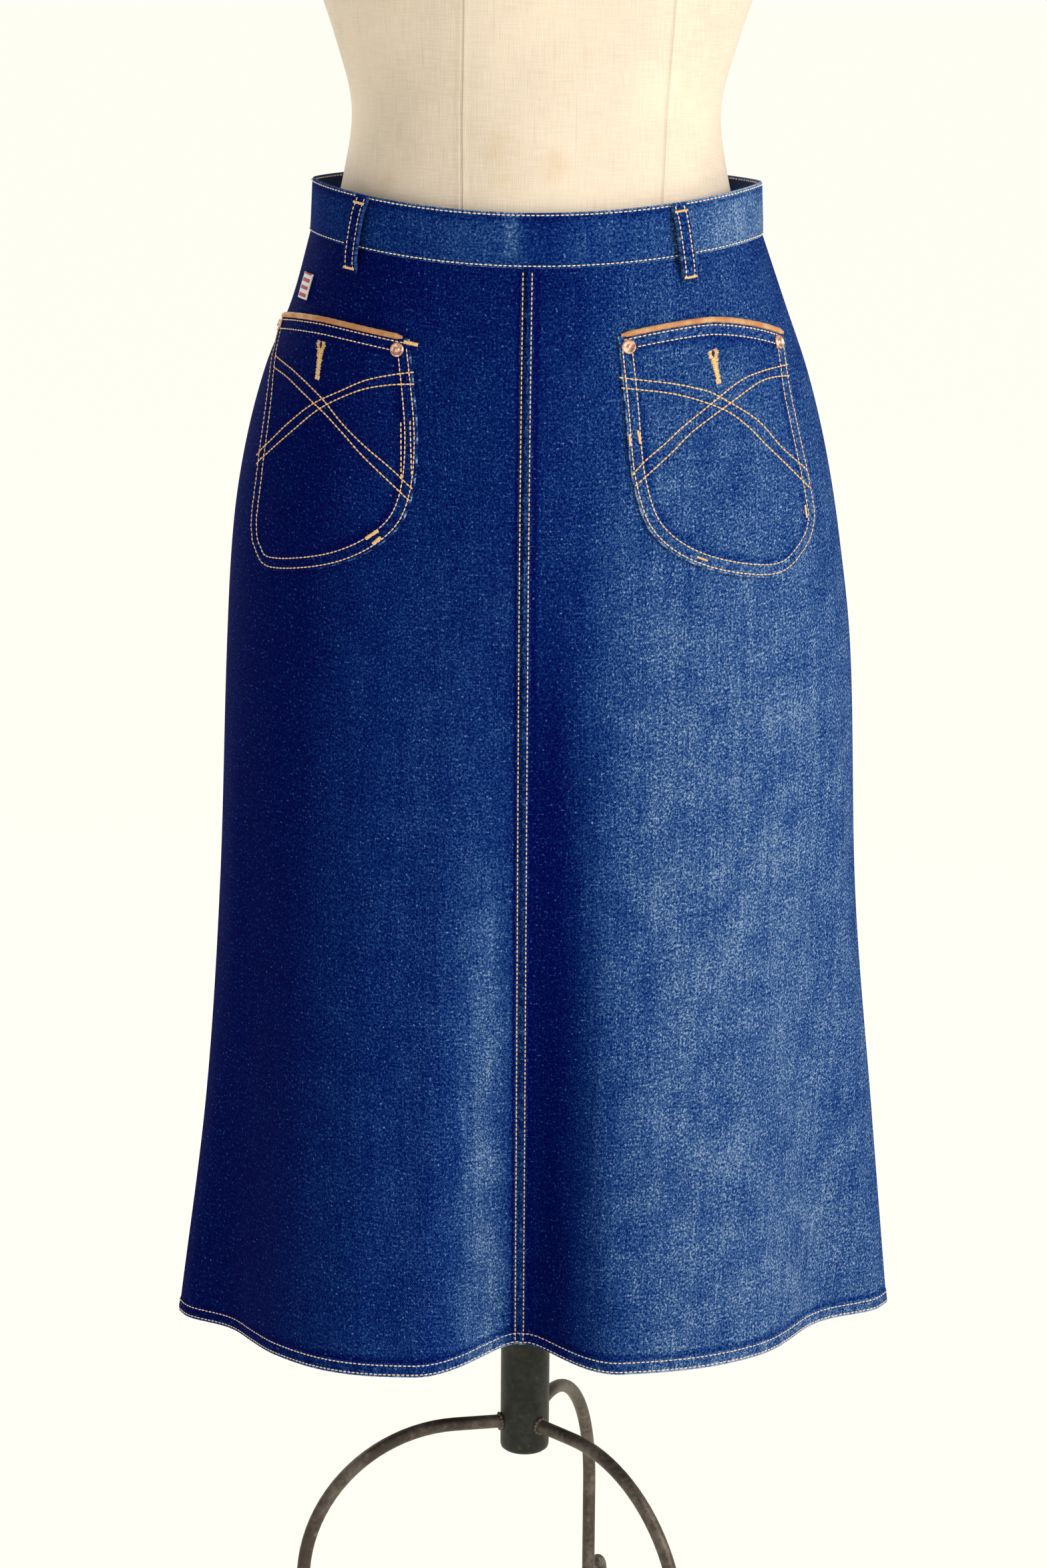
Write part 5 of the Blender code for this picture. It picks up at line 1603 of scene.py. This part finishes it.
# ---- Add-on ------------------------------------------------------------------------------------------
class SkirtSettings(bpy.types.PropertyGroup):
    """Colours and sizes of the skirt."""

    indigo: bpy.props.FloatVectorProperty(
        name="Indigo", description="Denim that hasn't faded", default=(0.0003, 0.0012, 0.060),
        subtype="COLOR", min=0.0, max=1.0)
    blue: bpy.props.FloatVectorProperty(
        name="Blue", description="Denim that has faded a little", default=(0.0018, 0.022, 0.145),
        subtype="COLOR", min=0.0, max=1.0)
    faded: bpy.props.FloatVectorProperty(
        name="Faded blue", description="Denim that has faded", default=(0.036, 0.100, 0.250),
        subtype="COLOR", min=0.0, max=1.0)
    palest: bpy.props.FloatVectorProperty(
        name="Palest blue", description="Denim's white weft", default=(0.27, 0.36, 0.50),
        subtype="COLOR", min=0.0, max=1.0)
    flecks: bpy.props.FloatProperty(
        name="Flecks", description="How much white weft shows", default=0.9, min=0.0, max=2.0)
    gold: bpy.props.FloatVectorProperty(
        name="Gold thread", description="Topstitching", default=(0.95, 0.55, 0.17), subtype="COLOR",
        min=0.0, max=1.0)
    pale: bpy.props.FloatVectorProperty(
        name="Faded thread", description="Topstitching where it has faded", default=(0.93, 0.74, 0.57),
        subtype="COLOR", min=0.0, max=1.0)
    tan: bpy.props.FloatVectorProperty(
        name="Leather", description="Pocket binding", default=(0.48, 0.19, 0.055), subtype="COLOR",
        min=0.0, max=1.0)
    linen: bpy.props.FloatVectorProperty(
        name="Linen", description="Cover of the dress form", default=(0.66, 0.545, 0.425), subtype="COLOR",
        min=0.0, max=1.0)


class StudioSettings(bpy.types.PropertyGroup):
    """Light and floor."""

    floor_size: bpy.props.FloatProperty(
        name="Floor", description="Width of the floor", default=900.0, min=4.0, unit="LENGTH")
    key_power: bpy.props.FloatProperty(
        name="Key light", description="Power of the key light", default=95.0, min=0.0, unit="POWER")
    ambient: bpy.props.FloatProperty(
        name="Ambient", description="Soft light from all round", default=0.42, min=0.0)
    backdrop: bpy.props.FloatVectorProperty(
        name="Backdrop", description="Colour behind the object", default=(1.0, 0.990, 0.925),
        subtype="COLOR", min=0.0, max=1.0)


MATERIALS = {}
LOOP_SURFACES = []


def materials_of(context):
    """The shared materials, made once."""
    if not MATERIALS:
        look = context.scene.skirt_settings
        shades = [tuple(look.indigo), tuple(look.blue), tuple(look.faded), tuple(look.palest)]
        MATERIALS.update({
            "denim": denim_material("denim", 1.0, shades, look.flecks),
            "band": denim_material("band_denim", -1.0, shades, look.flecks * 0.85),
            "thread": thread_material(tuple(look.gold), tuple(look.pale)),
            "leather": leather_material(tuple(look.tan)),
            "copper": copper_material(),
            "label": label_material(),
            "linen": linen_material(tuple(look.linen), tuple(1.22 * c for c in look.linen)),
            "post": iron_material("iron_post", (0.016, 0.019, 0.015), (0.075, 0.072, 0.060), 0.55),
            "leg": iron_material("iron_leg", (0.060, 0.046, 0.036), (0.19, 0.155, 0.125), 0.9),
            "tape": tape_material(),
        })
    return MATERIALS


class SKIRT_OT_form(bpy.types.Operator):
    """Build the linen dress form"""

    bl_idname = "skirt.form"
    bl_label = "Dress form"

    def execute(self, context):
        build_form(materials_of(context))
        return {"FINISHED"}


class SKIRT_OT_stand(bpy.types.Operator):
    """Build the post and its three legs"""

    bl_idname = "skirt.stand"
    bl_label = "Stand"

    def execute(self, context):
        build_stand(materials_of(context))
        return {"FINISHED"}


class SKIRT_OT_panels(bpy.types.Operator):
    """Build the four panels of the skirt"""

    bl_idname = "skirt.panels"
    bl_label = "Panels"

    def execute(self, context):
        for panel in PANELS:
            build_panel(panel, materials_of(context))
        return {"FINISHED"}


class SKIRT_OT_waistband(bpy.types.Operator):
    """Build the waistband and its belt loops"""

    bl_idname = "skirt.waistband"
    bl_label = "Waistband"

    def execute(self, context):
        build_band(materials_of(context))
        LOOP_SURFACES[:] = [build_loop(loop, materials_of(context)) for loop in LOOPS]
        return {"FINISHED"}


class SKIRT_OT_closure(bpy.types.Operator):
    """Build the lap, zip and button at the back"""

    bl_idname = "skirt.closure"
    bl_label = "Back closure"

    def execute(self, context):
        build_closure(materials_of(context))
        return {"FINISHED"}


class SKIRT_OT_pockets(bpy.types.Operator):
    """Build the pockets with their leather, rivets and stitching"""

    bl_idname = "skirt.pockets"
    bl_label = "Pockets"

    def execute(self, context):
        materials = materials_of(context)
        for seed, pocket in enumerate(POCKETS):
            surface = build_pocket(pocket, materials)
            build_binding(pocket, materials)
            build_rivets(pocket, materials)
            thread = Thread(20 + seed)
            sew_pocket(thread, surface, pocket)
            thread.finish("stitching_pocket_" + pocket.name, materials["thread"])
        return {"FINISHED"}


class SKIRT_OT_stitching(bpy.types.Operator):
    """Sew the seams, hem, waistband and belt loops"""

    bl_idname = "skirt.stitching"
    bl_label = "Stitching"

    def execute(self, context):
        build_skirt_stitching(materials_of(context))
        build_band_stitching(materials_of(context), LOOP_SURFACES)
        return {"FINISHED"}


class SKIRT_OT_label(bpy.types.Operator):
    """Build the striped woven tab"""

    bl_idname = "skirt.label"
    bl_label = "Woven tab"

    def execute(self, context):
        build_label(materials_of(context))
        return {"FINISHED"}


class SKIRT_OT_studio(bpy.types.Operator):
    """Set the floor, the lights and the camera"""

    bl_idname = "skirt.studio"
    bl_label = "Studio"

    def execute(self, context):
        studio = context.scene.studio_settings
        half = studio.floor_size / 2
        corners = [(-half, -half, 0), (half, -half, 0), (half, half, 0), (-half, half, 0)]
        ground = make_piece("floor", corners, [[0, 1, 2, 3]], floor_material(tuple(studio.backdrop)))
        for row in LAMPS:
            lamp = bpy.data.lights.new(row.name, "AREA")
            lamp.shape = "SQUARE"
            lamp.size = row.size
            lamp.energy = row.share * studio.key_power
            lamp.color = row.colour
            holder = bpy.data.objects.new(row.name, lamp)
            holder.location = Vector(row.place) + Vector(AXIS)
            aim = Vector(LAMP_AIM) - Vector(row.place)
            holder.rotation_euler = aim.to_track_quat("-Z", "Y").to_euler()
            context.scene.collection.objects.link(holder)
        world = bpy.data.worlds.new("studio")
        world.use_nodes = True
        nodes, links = world.node_tree.nodes, world.node_tree.links
        sky = nodes["Background"]
        sky.inputs["Color"].default_value = (*studio.backdrop, 1.0)
        seen = nodes.new("ShaderNodeLightPath").outputs["Is Camera Ray"]
        power = nodes.new("ShaderNodeMapRange")
        power.inputs["To Min"].default_value = studio.ambient
        links.new(seen, power.inputs["Value"])
        links.new(power.outputs[0], sky.inputs["Strength"])
        context.scene.world = world
        lens = bpy.data.cameras.new("camera")
        lens.lens = LENS
        lens.sensor_fit = "VERTICAL"
        lens.sensor_height = SENSOR
        lens.shift_x = CAMERA_SHIFT
        camera = bpy.data.objects.new("camera", lens)
        turn, pitch = math.radians(CAMERA_TURN), math.radians(CAMERA_PITCH)
        place = Vector((CAMERA_REACH * math.sin(turn), -CAMERA_REACH * math.cos(turn), CAMERA_HEIGHT))
        aim = Matrix.Rotation(turn, 4, "Z") @ Matrix.Rotation(math.pi / 2 - pitch, 4, "X")
        roll = Matrix.Rotation(math.radians(CAMERA_ROLL), 4, "Z")
        camera.matrix_world = Matrix.Translation(place + Vector(AXIS)) @ aim @ roll
        context.scene.collection.objects.link(camera)
        context.scene.camera = camera
        context.scene.view_settings.view_transform = "Standard"
        return {"FINISHED"}


class SKIRT_PT_pieces(bpy.types.Panel):
    """Lists the pieces in build order"""

    bl_label = "Denim skirt"
    bl_space_type = "VIEW_3D"
    bl_region_type = "UI"
    bl_category = "Skirt"

    def draw(self, context):
        for look in (context.scene.skirt_settings, context.scene.studio_settings):
            for key in look.__annotations__:
                self.layout.prop(look, key)
        for operator in OPERATORS:
            self.layout.operator(operator.bl_idname)


OPERATORS = (
    SKIRT_OT_form, SKIRT_OT_stand, SKIRT_OT_panels, SKIRT_OT_waistband, SKIRT_OT_closure,
    SKIRT_OT_pockets, SKIRT_OT_stitching, SKIRT_OT_label, SKIRT_OT_studio,
)


def register():
    """Adds the settings, operators and panel."""
    for made in (SkirtSettings, StudioSettings, *OPERATORS, SKIRT_PT_pieces):
        bpy.utils.register_class(made)
    bpy.types.Scene.skirt_settings = bpy.props.PointerProperty(type=SkirtSettings)
    bpy.types.Scene.studio_settings = bpy.props.PointerProperty(type=StudioSettings)


def unregister():
    """Takes them away again."""
    del bpy.types.Scene.skirt_settings
    del bpy.types.Scene.studio_settings
    for made in reversed((SkirtSettings, StudioSettings, *OPERATORS, SKIRT_PT_pieces)):
        bpy.utils.unregister_class(made)


def box_of(objects):
    """The lowest and highest corners of a set of objects."""
    bpy.context.view_layer.update()
    corners = [o.matrix_world @ Vector(c) for o in objects for c in o.bound_box]
    return [[min(c[k] for c in corners) for k in range(3)], [max(c[k] for c in corners) for k in range(3)]]


def main():
    """Builds everything through its operators and finds the box round the new pieces."""
    register()
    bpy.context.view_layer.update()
    before = set(bpy.data.objects)
    bpy.ops.skirt.form()
    bpy.ops.skirt.stand()
    bpy.ops.skirt.panels()
    bpy.ops.skirt.waistband()
    bpy.ops.skirt.closure()
    bpy.ops.skirt.pockets()
    bpy.ops.skirt.stitching()
    bpy.ops.skirt.label()
    made = [o for o in bpy.data.objects if o not in before and o.type == "MESH"]
    visual = box_of(made)
    bpy.ops.skirt.studio()


if __name__ == "__main__":
    main()
